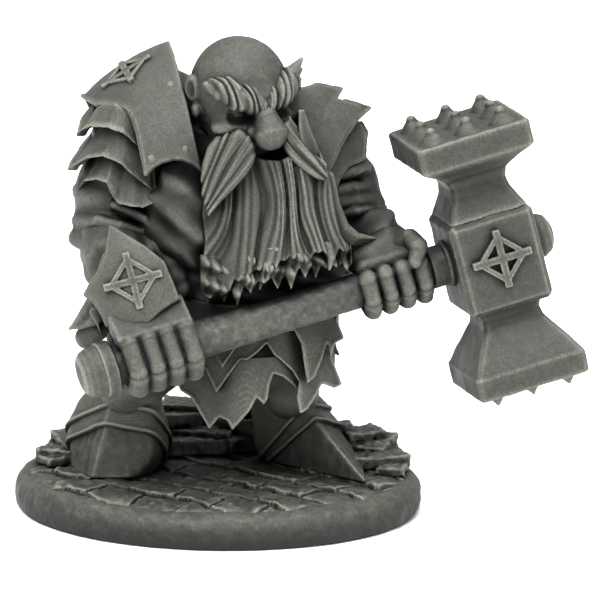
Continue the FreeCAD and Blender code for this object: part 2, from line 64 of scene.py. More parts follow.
# ---- vectors, frames and node positions ----
def vec(*v):
    return np.array(v, dtype=np.float32)


def unit(v):
    return v / np.linalg.norm(v)


@cache
def box(node):
    low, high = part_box(node)
    return vec(*low) / MM, vec(*high) / MM


def mid(node):
    low, high = box(node)
    return (low + high) / 2


def yawed(degrees):
    """Rows are the side, front and up axes of a frame that faces round from -Y towards +X."""
    a = math.radians(degrees)
    return np.array([[math.cos(a), math.sin(a), 0], [math.sin(a), -math.cos(a), 0], [0, 0, 1]],
        dtype=np.float32)


VIEW = np.array([[1, 0, 0], [0, -EC, ES], [0, ES, EC]], dtype=np.float32)
LEVEL = np.eye(3, dtype=np.float32)
HAFT = unit(mid("hammer_block") - mid("pommel_cap"))
HEAD_UP = mid("upper_striker") - mid("lower_striker")
HEAD_UP = unit(HEAD_UP - HAFT * (HEAD_UP @ HAFT))
HAFT_FRONT = np.cross(HAFT, HEAD_UP)
HAMMER = np.array([HAFT, HAFT_FRONT, HEAD_UP], dtype=np.float32)
HAFT_MID = mid("hammer_block")


def near(node):
    """A way to give points from the middle of a node's box."""
    middle = mid(node)
    return lambda x, y, z: middle + vec(x, y, z)


def facing(node):
    """A way to give outline points, across and up the view plane, from the middle of a node's box."""
    across, _, rise = VIEW @ mid(node)
    return lambda *points: [(across + x, rise + v) for x, v in points]


def height(node):
    return mid(node)[2]


def haft(t, n=0.0, a=0.0):
    """A point t along the haft from the block's centre, n to its front and a towards the upper striker."""
    return HAFT_MID + HAFT * t + HAFT_FRONT * n + HEAD_UP * a


# ---- distance fields: P is an N by 3 array of points, in millimetres ----
def length(v):
    return np.sqrt(np.einsum("...i,...i->...", v, v))


def ball(P, c, r):
    return length(P - c) - r


def bead(P, c, radii, F=LEVEL):
    """An ellipsoid with its radii along the rows of F."""
    q = (P - c) @ F.T
    r = vec(*radii)
    k = length(q / r)
    return k * (k - 1) / np.maximum(length(q / (r * r)), 1e-5)


def limb(P, *knots):
    """Round cones from knot to knot, each a point and a radius."""
    d = None
    for (a, ra), (b, rb) in zip(knots, knots[1:]):
        ba = b - a
        t = np.clip((P - a) @ ba / (ba @ ba), 0, 1)
        e = length(P - a - t[:, None] * ba) - (ra + (rb - ra) * t)
        d = e if d is None else np.minimum(d, e)
    return d


def brick(P, c, half, F=LEVEL, r=0.1):
    q = np.abs((P - c) @ F.T) - vec(*half) + r
    return length(np.maximum(q, 0)) + np.minimum(q.max(axis=1), 0) - r


def melt(a, b, k):
    """Joins two fields with a fillet of about size k."""
    h = np.clip(0.5 + 0.5 * (b - a) / k, 0, 1)
    return b * (1 - h) + a * h - k * h * (1 - h)


def join(k, *ds):
    d = ds[0]
    for e in ds[1:]:
        d = melt(d, e, k)
    return d


def keep(a, b, k=0.08):
    """What is inside both fields."""
    return -melt(-a, -b, k)


def carve(a, b, k=0.08):
    return -melt(-a, b, k)


def polygon(u, v, pts):
    """Distance from a closed outline, negative inside."""
    best, sign = None, np.ones_like(u)
    for (ax, ay), (bx, by) in zip(pts, pts[1:] + pts[:1]):
        ex, ey, wx, wy = bx - ax, by - ay, u - ax, v - ay
        t = np.clip((wx * ex + wy * ey) / (ex * ex + ey * ey), 0, 1)
        d = (wx - ex * t) ** 2 + (wy - ey * t) ** 2
        best = d if best is None else np.minimum(best, d)
        c1, c2, c3 = v >= ay, v < by, ex * wy > ey * wx
        flip = (c1 & c2 & c3) | (~c1 & ~c2 & ~c3)
        sign = np.where(flip, -sign, sign)
    return sign * np.sqrt(best)


def scatter(n, seed):
    """A repeatable pseudo-random number from -1 to 1 for each row of whole numbers."""
    n = n.astype(np.int64)
    h = (n[..., 0] * 374761393 + n[..., 1] * 668265263 + n[..., 2] * 974634777 + seed * 69069) & 0xFFFFFFFF
    h = ((h ^ (h >> 13)) * 1274126177) & 0xFFFFFFFF
    return (((h ^ (h >> 16)) & 0xFFFF) / 32767.5 - 1).astype(np.float32)


def lump(P, size, seed):
    """Smooth noise from -1 to 1 with features of the given size."""
    q = P / vec(*size) if isinstance(size, tuple) else P / size
    i = np.floor(q)
    f = q - i
    f = f * f * (3 - 2 * f)
    total = 0
    for corner in range(8):
        o = np.array([corner & 1, corner >> 1 & 1, corner >> 2 & 1])
        w = np.prod(np.where(o == 1, f, 1 - f), axis=1)
        total = total + w * scatter(i + o, seed)
    return total


def pitted(P, seed, amount=0.03):
    return amount * (lump(P, 0.7, seed) + 0.6 * lump(P, 0.3, seed + 1))


def hair(across, along, seed, depth=1.0):
    """Long locks with creases between them, and finer strands inside them."""
    drift = 2.0 * lump(np.stack([across / 1.7, along / 5.0, 0 * along], 1), 1.0, seed)
    swell = lump(np.stack([across / 1.1, along / 2.6, 0 * along], 1), 1.0, seed + 1)
    phase = across * 2.0 + drift
    locks = np.abs(np.sin(phase)) ** 0.65
    fine = np.abs(np.sin(phase * 3.4 + 1.6 * swell)) ** 0.8
    return depth * (0.42 * locks + 0.12 * fine + 0.2 * swell - 0.30)


def plane(a, b, c, outside):
    """Distance in front of the plane through three points, positive on the side of the fourth."""
    n = unit(np.cross(b - a, c - a))
    n = n if (outside - a) @ n > 0 else -n
    return lambda P: (P - a) @ n


def view_plane(P):
    """Coordinates across and up the plane that faces the display side."""
    return P[:, 0], P[:, 1] * ES + P[:, 2] * EC


# ---- from a field to a mesh ----
CORNERS = np.array([[c & 1, c >> 1 & 1, c >> 2 & 1] for c in range(8)])
EDGES = [(a, b) for a in range(8) for b in range(a + 1, 8) if abs(CORNERS[a] - CORNERS[b]).sum() == 1]
BLOCK = 4
REACH = 2.1  # a block is left out when a corner is further than this from the surface, in block sides
POOL = ThreadPoolExecutor(4)


def evaluate(field, P):
    chunks = [P[i:i + 40000] for i in range(0, len(P), 40000)]
    return np.concatenate(list(POOL.map(field, chunks))) if chunks else np.zeros(0, np.float32)


def grid(field, low, high, step):
    """Samples the field closely only in the blocks that its surface may cross."""
    n = np.ceil((high - low) / (step * BLOCK)).astype(int)
    index = np.stack(np.meshgrid(*[np.arange(k + 1) for k in n], indexing="ij"), -1)
    rough = evaluate(field, (low + index.reshape(-1, 3) * step * BLOCK).astype(np.float32)).reshape(n + 1)
    nearest = np.full(n, np.inf, np.float32)
    for a, b, c in CORNERS:
        nearest = np.minimum(nearest, np.abs(rough[a:n[0] + a, b:n[1] + b, c:n[2] + c]))
    blocks = np.argwhere(nearest < step * BLOCK * REACH)
    F = rough[:-1, :-1, :-1].repeat(BLOCK, 0).repeat(BLOCK, 1).repeat(BLOCK, 2)
    F = np.pad(F, ((0, 1), (0, 1), (0, 1)), mode="edge")
    wanted = np.zeros(F.shape, bool)
    span = np.arange(BLOCK + 1)
    offsets = np.stack(np.meshgrid(span, span, span, indexing="ij"), -1).reshape(-1, 3)
    cells = (blocks[:, None, :] * BLOCK + offsets[None]).reshape(-1, 3)
    wanted[cells[:, 0], cells[:, 1], cells[:, 2]] = True
    where = np.argwhere(wanted)
    F[wanted] = evaluate(field, (low + where * step).astype(np.float32))
    return F


def settle(t, values):
    """Moves each point inside its cell onto the surface that the cell's corner values describe."""
    for _ in range(2):
        share = [np.where(CORNERS[:, a][None] == 1, t[:, a:a + 1], 1 - t[:, a:a + 1]) for a in range(3)]
        level = (share[0] * share[1] * share[2] * values).sum(axis=1)
        rise = []
        for a in range(3):
            others = [share[b] for b in range(3) if b != a]
            way = np.where(CORNERS[:, a][None] == 1, 1, -1)
            rise.append((way * others[0] * others[1] * values).sum(axis=1))
        rise = np.stack(rise, 1)
        t = np.clip(t - (level / np.maximum((rise ** 2).sum(axis=1), 1e-8))[:, None] * rise, 0.02, 0.98)
    return t


def surface(F, low, step):
    """Surface nets: one point in each crossed cell and one quad round each crossed edge."""
    inside = F < 0
    count = np.zeros(np.array(F.shape) - 1, np.int8)
    for a, b, c in CORNERS:
        count += inside[a:F.shape[0] - 1 + a, b:F.shape[1] - 1 + b, c:F.shape[2] - 1 + c]
    crossed = (count > 0) & (count < 8)
    cells = np.argwhere(crossed)
    values = np.stack([F[tuple((cells + c).T)] for c in CORNERS], 1)
    total, hits = np.zeros((len(cells), 3)), np.zeros(len(cells))
    for a, b in EDGES:
        va, vb = values[:, a], values[:, b]
        hit = (va < 0) != (vb < 0)
        t = np.where(hit, va / np.where(hit, va - vb, 1), 0)
        total += hit[:, None] * (CORNERS[a] + (CORNERS[b] - CORNERS[a]) * t[:, None])
        hits += hit
    t = settle(total / hits[:, None], values)
    points = low + step * (cells + t)
    number = np.full(crossed.shape, -1, np.int64)
    number[crossed] = np.arange(len(cells))
    quads = []
    for axis in range(3):
        u, v = (axis + 1) % 3, (axis + 2) % 3
        first = np.take(inside, range(F.shape[axis] - 1), axis)
        second = np.take(inside, range(1, F.shape[axis]), axis)
        for leaving in (True, False):
            edge = np.argwhere(first & ~second if leaving else ~first & second)
            edge = edge[(edge[:, u] > 0) & (edge[:, v] > 0)]
            edge = edge[(edge[:, u] < F.shape[u] - 1) & (edge[:, v] < F.shape[v] - 1)]
            ring = []
            for du, dv in ((-1, -1), (0, -1), (0, 0), (-1, 0)):
                cell = edge.copy()
                cell[:, u] += du
                cell[:, v] += dv
                ring.append(number[tuple(cell.T)])
            quad = np.stack(ring if leaving else ring[::-1], 1)
            quads.append(quad[(quad >= 0).all(axis=1)])
    return points, np.concatenate(quads), cells


def bend(F, cells, reach):
    """How strongly the surface bends at each cell: above 0 on ridges, below 0 in creases."""
    last = np.array(F.shape) - 1
    total = np.zeros(len(cells), np.float32)
    for corner in CORNERS:
        p = cells + corner
        total -= 6 * F[tuple(p.T)]
        for axis in range(3):
            for way in (-reach, reach):
                q = p.copy()
                q[:, axis] += way
                total += F[tuple(np.clip(q, 0, last).T)]
    return total / 8


def mesh_of(name, points, quads, ridges):
    mesh = bpy.data.meshes.new(name)
    mesh.vertices.add(len(points))
    mesh.vertices.foreach_set("co", (points * MM).astype(np.float32).ravel())
    mesh.loops.add(quads.size)
    mesh.loops.foreach_set("vertex_index", quads.astype(np.int32).ravel())
    mesh.polygons.add(len(quads))
    mesh.polygons.foreach_set("loop_start", np.arange(0, quads.size, 4, dtype=np.int32))
    mesh.polygons.foreach_set("loop_total", np.full(len(quads), 4, dtype=np.int32))
    mesh.update(calc_edges=True)
    mesh.polygons.foreach_set("use_smooth", np.ones(len(quads), bool))
    for label, values in ridges.items():
        mesh.attributes.new(label, "FLOAT", "POINT").data.foreach_set("value", values.astype(np.float32))
    return mesh


FINE, BROAD = 0.17, 0.42  # how far out the two measures of bending look


def sculpt(node, field, step=0.1, margin=1.6, slot="figure_resin", low=None, high=None):
    """Meshes one casting's field round its CAD node's box and puts it in that node's place."""
    step = step * COARSE
    lo, hi = box(node)
    lo = lo - margin if low is None else low
    hi = hi + margin if high is None else high
    F = grid(field, lo, hi, step)
    points, quads, cells = surface(F, lo, step)
    fine, broad = max(1, round(FINE / step)), max(2, round(BROAD / step))
    # Both bend measures are kept on the mesh, and the material paints highlights on ridges and shade in
    # creases from them.
    ridges = {"fine_ridge": bend(F, cells, fine) / (fine * step),
        "broad_ridge": bend(F, cells, broad) / (broad * step)}
    piece = bpy.data.objects.new(node + "_cast", mesh_of(node, points, quads, ridges))
    bpy.context.scene.collection.objects.link(piece)
    piece.data.materials.append(RESINS[slot])
    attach(piece, "root")
    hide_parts(node)
    print(f"{node} {len(quads)} quads")


# ---- materials ----
def resin(name, shade, seed):
    """Unpainted grey resin: fine grain and random patches, with painted shade in the recesses and creases and
    painted highlights on the edges and ridges.
    """
    material = bpy.data.materials.new(name)
    material.use_nodes = True
    nodes, links = material.node_tree.nodes, material.node_tree.links
    shader = nodes["Principled BSDF"]
    shader.inputs["Specular IOR Level"].default_value = 0.3

    def node(kind, **values):
        n = nodes.new(kind)
        for key, value in values.items():
            setattr(n, key, value)
        return n

    def ramp(source, *stops):
        r = node("ShaderNodeValToRGB")
        stations = r.color_ramp.elements
        for end, (place, value) in ((0, stops[0]), (1, stops[-1])):
            stations[end].position, stations[end].color = place, (value, value, value, 1)
        for place, value in stops[1:-1]:
            stations.new(place).color = (value, value, value, 1)
        links.new(source, r.inputs["Fac"])
        return r.outputs["Color"]

    def mixed(kind, a, b, share=1.0):
        m = node("ShaderNodeMix", data_type="RGBA", blend_type=kind)
        m.inputs["Factor"].default_value = share
        for socket, value in ((m.inputs[6], a), (m.inputs[7], b)):
            if isinstance(value, tuple):
                socket.default_value = (*value, 1)
            else:
                links.new(value, socket)
        return m.outputs[2]

    coords = node("ShaderNodeTexCoord")
    place = node("ShaderNodeMapping")
    place.inputs["Location"].default_value = (seed, seed * 0.7, 0)
    links.new(coords.outputs["Object"], place.inputs["Vector"])

    def noise(scale, detail=3.0):
        n = node("ShaderNodeTexNoise")
        n.inputs["Scale"].default_value = scale
        n.inputs["Detail"].default_value = detail
        links.new(place.outputs["Vector"], n.inputs["Vector"])
        return n.outputs["Fac"]

    grain, patches = noise(9000.0), noise(420.0)
    fine = node("ShaderNodeAttribute", attribute_name="fine_ridge").outputs["Fac"]
    broad = node("ShaderNodeAttribute", attribute_name="broad_ridge").outputs["Fac"]

    def shifted(value):
        m = node("ShaderNodeMapRange")
        m.inputs["From Min"].default_value, m.inputs["From Max"].default_value = -2.0, 2.0
        links.new(value, m.inputs["Value"])
        return m.outputs["Result"]
    # Painted highlight on sharp edges and ridges, and painted shade in fine creases, from the fine bend
    # measure.
    edges = ramp(shifted(fine), (0.20, 0.3), (0.46, 0.82), (0.54, 1.06), (0.68, 1.75), (0.85, 2.7))
    # Painted shade in broad creases and folds, and painted highlight on broad ridges, from the broad bend
    # measure.
    folds = ramp(shifted(broad), (0.10, 0.45), (0.50, 0.95), (0.80, 1.45))
    # Painted shade in recesses and between parts, from ambient occlusion.
    hollow = node("ShaderNodeAmbientOcclusion", samples=8)
    hollow.inputs["Distance"].default_value = 4.4 * MM
    shadow = ramp(hollow.outputs["AO"], (0.22, 0.015), (0.48, 0.13), (0.74, 0.56), (0.96, 1.16))
    colour = mixed("MULTIPLY", tuple(shade), ramp(patches, (0.3, 0.84), (0.7, 1.16)))
    for layer in (ramp(grain, (0.32, 0.68), (0.68, 1.36)), edges, folds, shadow):
        colour = mixed("MULTIPLY", colour, layer)
    links.new(colour, shader.inputs["Base Color"])
    links.new(ramp(patches, (0.3, 0.5), (0.7, 0.68)), shader.inputs["Roughness"])
    bump = node("ShaderNodeBump")
    bump.inputs["Strength"].default_value = 0.35
    bump.inputs["Distance"].default_value = 0.05 * MM
    links.new(grain, bump.inputs["Height"])
    links.new(bump.outputs["Normal"], shader.inputs["Normal"])
    return material


GREY = vec(0.0300, 0.0306, 0.0252)
SHADES = {"base_resin": 0.95, "hammer_resin": 1.0, "armour_resin": 1.0, "figure_resin": 1.0}
RESINS = {slot: resin(slot, GREY * shade, seed) for seed, (slot, shade) in enumerate(SHADES.items(), 1)}


# ---- base ----
BASE_TURN, COURSE_TURN = -7, -36  # the oval's long axis and the rows of flagstones, degrees round from +X


def oval(P, inset=0.0):
    """Distance from the base's outline, negative inside."""
    low, high = box("base_plinth")
    wide, deep = (high[:2] - low[:2]) / 2
    turn = math.radians(BASE_TURN)
    c, s = math.cos(turn), math.sin(turn)
    a = math.sqrt(((wide * c) ** 2 - (deep * s) ** 2) / (c * c - s * s)) - inset
    b = math.sqrt(((deep * c) ** 2 - (wide * s) ** 2) / (c * c - s * s)) - inset
    x = P[:, 0] - (low[0] + high[0]) / 2
    y = P[:, 1] - (low[1] + high[1]) / 2
    x, y = x * c + y * s, y * c - x * s
    k = np.hypot(x / a, y / b)
    return k * (k - 1) / np.maximum(np.hypot(x / a ** 2, y / b ** 2), 1e-3)


def plinth(P):
    up = height("base_plinth")
    rounding = 1.25
    w = oval(P) + rounding
    h = np.abs(P[:, 2] - (up - 0.25)) - 0.15
    d = np.hypot(np.maximum(w, 0), np.maximum(h, 0)) + np.minimum(np.maximum(w, h), 0) - rounding
    d = keep(d, -P[:, 2], 0.12)
    return d + (pitted(P, 11, 0.05) + 0.05 * lump(P, 1.6, 14)) * (P[:, 2] > 0.2)


def paving(P):
    up = height("paving")
    a = math.radians(COURSE_TURN)
    u = P[:, 0] * math.cos(a) + P[:, 1] * math.sin(a)
    v = -P[:, 0] * math.sin(a) + P[:, 1] * math.cos(a)
    wob = np.stack([u, v, 0 * u], 1)
    u = u + 0.45 * lump(wob, 1.9, 5) + 0.10 * lump(wob, 0.5, 13)
    v = v + 0.34 * lump(wob, 1.6, 6) + 0.12 * lump(wob, 0.45, 12)
    course, flag = 2.4, 3.1
    row = np.floor(v / course)
    fv = v / course - row
    uu = u / flag + 0.5 * (row % 2)
    col = np.floor(uu)
    fu = uu - col
    ids = np.stack([row, col, 0 * row], 1)
    lift = 0.10 * scatter(ids, 7)
    edge = np.minimum(np.minimum(fu, 1 - fu) * flag, np.minimum(fv, 1 - fv) * course)
    top = up + 0.25 + lift + 0.17 * (1 - fv) - 0.22 * np.exp(-(edge / 0.06) ** 2)
    top = top + 0.09 * lump(P, 0.9, 8) + 0.05 * lump(P, 0.4, 9)
    top = top - 0.12 * np.maximum(lump(P, 0.6, 10) - 0.35, 0)
    rim = oval(P, 0.75)
    top = top - 0.5 * np.exp(np.minimum(rim, 0) / 0.5)
    return keep(keep((P[:, 2] - top) * 0.8, rim, 0.3), (up - 0.6) - P[:, 2], 0.05)


def stones(node, seed, rows):
    """A heap of broken flat stones: rows are (centre, half sizes, turn, tilt)."""
    at, up = near(node), height("paving")

    def field(P):
        d = None
        for c, half, turn, tilt in rows:
            F, lean = yawed(turn), math.radians(tilt)
            c1, s1 = math.cos(lean), math.sin(lean)
            F = np.array([F[0], F[1] * c1 + F[2] * s1, F[2] * c1 - F[1] * s1])
            e = brick(P, at(*c), half, F.astype(np.float32), 0.1)
            d = e if d is None else np.minimum(d, e)
        chips = 0.11 * lump(P, 0.9, seed) + 0.07 * lump(P, 0.40, seed + 1) + 0.05 * lump(P, 0.2, seed + 2)
        return keep(d + chips, up - P[:, 2], 0.05)
    return field


def build_base():
    sculpt("base_plinth", plinth, 0.12, 0.6, "base_resin")
    sculpt("paving", paving, 0.085, 0.5, "base_resin")
    heaps = (
        ("rock_ledge", 21, 1.2, (
            ((-0.25, 0.11, -0.7), (3.4, 2.2, 0.5), 8, 4),
            ((-0.85, 0.71, 0.0), (2.8, 1.9, 0.42), -12, -4),
            ((-1.15, 1.11, 0.65), (2.1, 1.5, 0.40), 20, 5),
            ((-1.45, 1.31, 1.2), (1.3, 1.0, 0.32), -8, 0),
            ((2.15, -0.09, -0.4), (1.6, 1.5, 0.5), 30, -6),
            ((2.15, 0.41, 0.4), (1.5, 1.3, 0.45), -20, 4),
            ((1.95, 0.61, 1.15), (1.1, 1.0, 0.4), 15, -4))),
        ("right_side_rubble", 31, 0.9, (
            ((-0.32, 0.2, -0.25), (1.6, 2.1, 0.34), -14, 5),
            ((-0.02, 1.0, 0.2), (1.2, 1.4, 0.28), 20, -5),
            ((-1.22, -1.5, -0.35), (0.9, 0.9, 0.28), 30, 3))),
        ("left_side_rubble", 41, 1.2, (
            ((0.44, -0.14, -0.45), (1.8, 2.4, 0.36), 15, 3),
            ((0.04, 0.76, 0.05), (1.6, 1.6, 0.3), -18, -6),
            ((-0.36, 1.26, 0.5), (1.3, 1.1, 0.28), 28, 4),
            ((-1.56, 1.16, 0.95), (0.7, 0.8, 0.3), 10, 12),
            ((1.64, -2.34, -0.6), (0.9, 1.3, 0.25), -12, 0))))
    for node, seed, margin, rows in heaps:
        sculpt(node, stones(node, seed, rows), 0.09, margin, "base_resin")


# ---- boots and legs ----
def right_foot(P):
    at = near("right_boot")
    toe, keel = at(-1.68, -2.8, -1.7), at(-0.93, -1.65, 0.95)
    d = bead(P, at(-0.13, 0.4, -0.35), (2.95, 3.6, 2.9))
    d = join(0.8, d, bead(P, at(-0.83, -1.1, -0.95), (2.3, 2.3, 1.9)))
    d = join(0.7, d, limb(P, (at(-0.13, 0.3, 0.65), 2.35), (at(0.37, 0.0, 3.65), 2.0)))
    left = plane(toe, keel, at(-3.13, -0.5, -1.65), at(-5.83, -3.9, -0.35))
    right = plane(toe, keel, at(1.77, -2.8, -1.65), at(2.17, -7.9, -0.35))
    wedge = np.maximum(left(P), right(P))
    d = keep(d, wedge, 0.35)
    tip = limb(P, (keel + vec(0.1, 0.6, -0.2), 0.5), (toe + vec(0.15, 0.4, 0.2), 0.42))
    return join(0.25, d, keep(tip, wedge, 0.1))


def left_foot(P):
    at = near("left_boot")
    toe, keel = at(3.48, -3.57, -1.93), at(0.48, -0.72, 1.12)
    d = bead(P, at(-0.12, 1.28, -0.38), (2.45, 3.0, 2.6), yawed(52))
    cap = limb(P, (at(0.58, 0.08, -0.48), 2.1), (at(2.08, -1.52, -1.18), 1.5), (at(3.18, -3.12, -1.68), 0.45))
    shin = limb(P, (at(-0.82, 1.38, 0.22), 2.45), (at(-1.62, 1.18, 3.62), 2.25))
    d = join(0.7, join(0.9, d, cap), shin)
    left = plane(toe, keel, at(-1.62, 0.48, -1.88), at(-2.82, -5.52, -1.58))
    right = plane(toe, keel, at(3.48, 1.68, -1.88), at(6.18, -0.52, 1.42))
    return keep(d, np.maximum(left(P), right(P)), 0.3)


def booted(foot, lower, upper, toe, seed):
    """A toe cap, with two bands that lap over it behind slanting edges given by three points each."""
    up = height("paving")
    first, second = plane(*lower, toe), plane(*upper, toe)

    def cap(P):
        scuffs = 0.03 * lump(P, (0.35, 0.35, 1.6), seed)
        return keep(foot(P) + pitted(P, seed, 0.022) + scuffs, (up + 0.32) - P[:, 2], 0.15)

    def band(edge, offset, deep):
        def field(P):
            s = edge(P)
            lip = 0.09 * np.exp(-((s + 0.1) / 0.13) ** 2)
            d = np.abs(foot(P) - offset + 0.12 + 0.06 * lump(P, 1.1, seed + 2)) - 0.18 - lip
            d = keep(keep(d, s, 0.1), -deep - s, 0.16)
            return keep(d, (up + 0.32) - P[:, 2], 0.1) + pitted(P, seed + 3, 0.015)
        return field
    return cap, band(first, 0.18, 1.9), band(second, 0.38, 2.9)


def build_legs():
    at = near("right_boot")
    right = ("right", right_foot, (at(-0.89, -1.9, 1.68), at(-3.02, 0.6, -0.33), at(2.57, -0.1, -0.98)),
        (at(-0.13, -1.4, 2.58), at(-2.63, 1.1, 0.5), at(2.27, 0.3, 0.21)), at(-1.68, -2.8, -1.7), 51)
    at = near("left_boot")
    left = ("left", left_foot, (at(-2.52, 1.08, -1.83), at(-0.72, -0.72, 0.71), at(1.78, 1.48, 0.79)),
        (at(-2.82, 1.48, -1.55), at(-1.22, -0.12, 1.18), at(0.28, 0.98, 1.78)), at(3.48, -3.57, -1.93), 55)
    for side, foot, lower, upper, toe, seed in (right, left):
        cap, strap, cuff = booted(foot, lower, upper, toe, seed)
        lo, hi = box(side + "_boot")
        sculpt(side + "_boot", cap, 0.085, 1.2)
        sculpt(side + "_boot_strap", strap, 0.08, 0, "figure_resin", lo - 1.3, hi + vec(1.3, 1.3, 1.8))
        sculpt(side + "_boot_cuff", cuff, 0.08, 0, "figure_resin", lo - 1.3, hi + vec(1.3, 1.3, 2.2))

    def leg(low_point, high_point, seed):
        def field(P):
            d = limb(P, (low_point, 1.8), (high_point, 2.1))
            return d + 0.12 * lump(P, (1.4, 1.4, 0.8), seed)
        return field
    at = near("right_leg")
    sculpt("right_leg", leg(at(-2.79, 0.2, -1.77), at(1.41, 0.0, 2.23), 61), 0.1, 1.0)
    at = near("left_leg")
    sculpt("left_leg", leg(at(0.66, 0.54, -2.27), at(-0.34, -0.16, 1.33), 62), 0.11, 1.0)


# ---- trunk and skirt ----
def trunk(P):
    at = near("torso")
    F = yawed(16)
    d = bead(P, at(0.24, -0.32, -1.2), (5.3, 5.1, 7.4), F)
    d = join(1.6, d, bead(P, at(0.14, -0.52, 3.3), (6.2, 4.6, 3.9), F))
    d = join(1.2, d, bead(P, at(-3.74, -3.72, 3.35), (2.2, 2.0, 2.2)))
    d = join(1.0, d, bead(P, at(-3.93, -3.72, 0.74), (2.2, 1.9, 2.0)))
    d = join(0.8, d, bead(P, at(-3.06, -4.72, 4.61), (1.6, 1.4, 2.0)),
        bead(P, at(-2.81, -5.22, 1.83), (1.5, 1.3, 2.2)))
    d = join(0.8, d, bead(P, at(6.01, -1.12, -1.11), (2.1, 1.7, 1.7)))
    d = join(1.2, d, bead(P, at(3.14, 0.88, 5.7), (2.9, 2.6, 2.7)),
        bead(P, at(-3.46, 0.68, 6.8), (3.6, 3.3, 3.3)))
    return d + 0.16 * np.sin((P[:, 0] * 0.6 + P[:, 2]) * 2.6 + 1.5 * lump(P, 2.5, 73))


def torso(P):
    at, up = near("torso"), height("torso")
    d = trunk(P) + 0.16 * lump(P, (1.8, 1.8, 1.0), 71) + pitted(P, 72, 0.02)
    collar = np.abs(limb(P, (at(0.24, -1.32, 6.2), 2.9), (at(0.24, -1.72, 8.0), 2.6))) - 0.3
    d = join(0.3, d, keep(collar, P[:, 2] - (up + 7.8), 0.15))
    return keep(d, (up - 7.9) - P[:, 2], 0.1)


def round_waist(P):
    at = near("torso")
    q = P - at(0.74, -0.62, -0.2)
    return np.hypot(q[:, 0], q[:, 1]), np.degrees(np.arctan2(q[:, 0], -q[:, 1])), P[:, 2]


def tier(top, r_top, r_hem, hem, notch, tips, outline, seed):
    """A flared leather tier: leaves cut to an outline in front, and hanging points behind.

    Each hanging point is a bearing, a height and half its width in degrees.
    """
    def field(P):
        r, bearing, z = round_waist(P)
        u, v = view_plane(P)
        share = np.clip((top - z) / (top - hem), 0, 1.3)
        ripple = 0.25 * np.sin(np.radians(bearing * 7) + seed) * share + 0.12 * lump(P, (1.3, 1.3, 3.0), seed)
        out = r_top + (r_hem - r_top) * share ** 1.4 + ripple
        edge = np.full_like(z, notch)
        ridge = np.zeros_like(z)
        for at, low, half in tips:
            s = np.abs((bearing - at + 180) % 360 - 180) / half
            edge = np.minimum(edge, low + (notch - low) * np.minimum(s, 1.4) ** 0.85)
            ridge = np.maximum(ridge, np.exp(-(s / 0.28) ** 2))
        behind = (edge - z) * 0.6
        before = polygon(u, v, outline)
        cut = np.where(P[:, 1] < 1.6, before, behind)
        d = np.abs(r - out - 0.16 * ridge * share) - 0.21 - 0.07 * np.exp(-((cut + 0.06) / 0.10) ** 2)
        return keep(keep(d, cut, 0.1), z - top, 0.2) + pitted(P, seed, 0.015)
    return field


def skirt(node, side_tip, low, bearings, heights, radii, seed, margin, front):
    """Sculpts a tier from the heights of its top, hem and notches and its radii at top and hem."""
    flat, up = facing(node), height(node)
    bearing, drop, half = side_tip
    tips = [(bearing, up + drop, half)] + [(a, up + low, 18) for a in bearings]
    top, hem, notch = (up + h for h in heights)
    sculpt(node, tier(top, *radii, hem, notch, tips, flat(*front), seed), 0.085, margin)


def build_trunk():
    sculpt("torso", torso, 0.11, 1.8)
    skirt("skirt_upper_tier", (88, -1.6, 17), -2.1, (122, 156, 190, 224, 258, 290), (2.3, -3.0, 0.1),
        (5.5, 6.5), 81, 1.4, ((-6.11, 1.54), (6.39, 2.79), (5.57, -0.33), (6.01, -1.46), (5.39, -1.83),
        (5.14, -2.58), (4.95, -1.71), (4.64, -2.71), (4.2, -3.83), (3.7, -4.27), (3.51, -3.08),
        (3.32, -1.77), (2.89, -0.96), (1.26, -1.27), (-0.49, -1.71), (-1.55, -3.27), (-2.11, -2.33),
        (-3.24, -2.83), (-4.86, -1.89)))
    skirt("skirt_middle_tier", (68, -1.25, 17), -1.45, (104, 140, 174, 208, 244, 280), (3.15, -2.35, 0.55),
        (5.1, 6.1), 82, 1.4, ((-6.21, 3.3), (6.29, 3.92), (5.54, 1.42), (5.1, -0.2), (5.79, -1.95),
        (5.29, -2.2), (4.54, -1.89), (4.16, -2.7), (3.6, -3.52), (3.16, -3.77), (2.98, -2.83), (3.1, -1.77),
        (2.66, -1.08), (1.98, -0.45), (1.54, -0.08), (1.1, 0.61), (0.54, 0.05), (-0.09, -0.45),
        (-0.52, -0.39), (-1.21, -1.33), (-2.02, -2.45), (-2.71, -0.95), (-3.71, -1.45), (-4.96, -0.45)))
    skirt("skirt_lower_tier", (84, -0.1, 16), -0.8, (118, 152, 188, 222, 256, 290), (5.4, -1.2, 1.2),
        (4.75, 5.8), 83, 1.6, ((-6.15, 4.02), (5.73, 4.02), (5.35, 0.77), (4.35, 0.27), (3.1, -0.29),
        (2.73, 0.08), (2.17, 0.52), (1.6, 0.71), (1.35, 0.02), (1.23, -0.86), (0.98, -1.23), (0.54, -0.79),
        (0.1, -1.61), (-0.96, -2.79), (-1.27, -2.23), (-1.77, -1.98), (-2.4, -2.73), (-3.02, -1.67),
        (-3.52, -0.79), (-4.21, -0.36), (-4.65, 0.77)))


# ---- head ----
FACE = yawed(30)


def on_face(side, front, lift):
    at = near("head")
    return at(0.28, 0.08, 1.42) + FACE[0] * side + FACE[1] * front + vec(0, 0, lift)


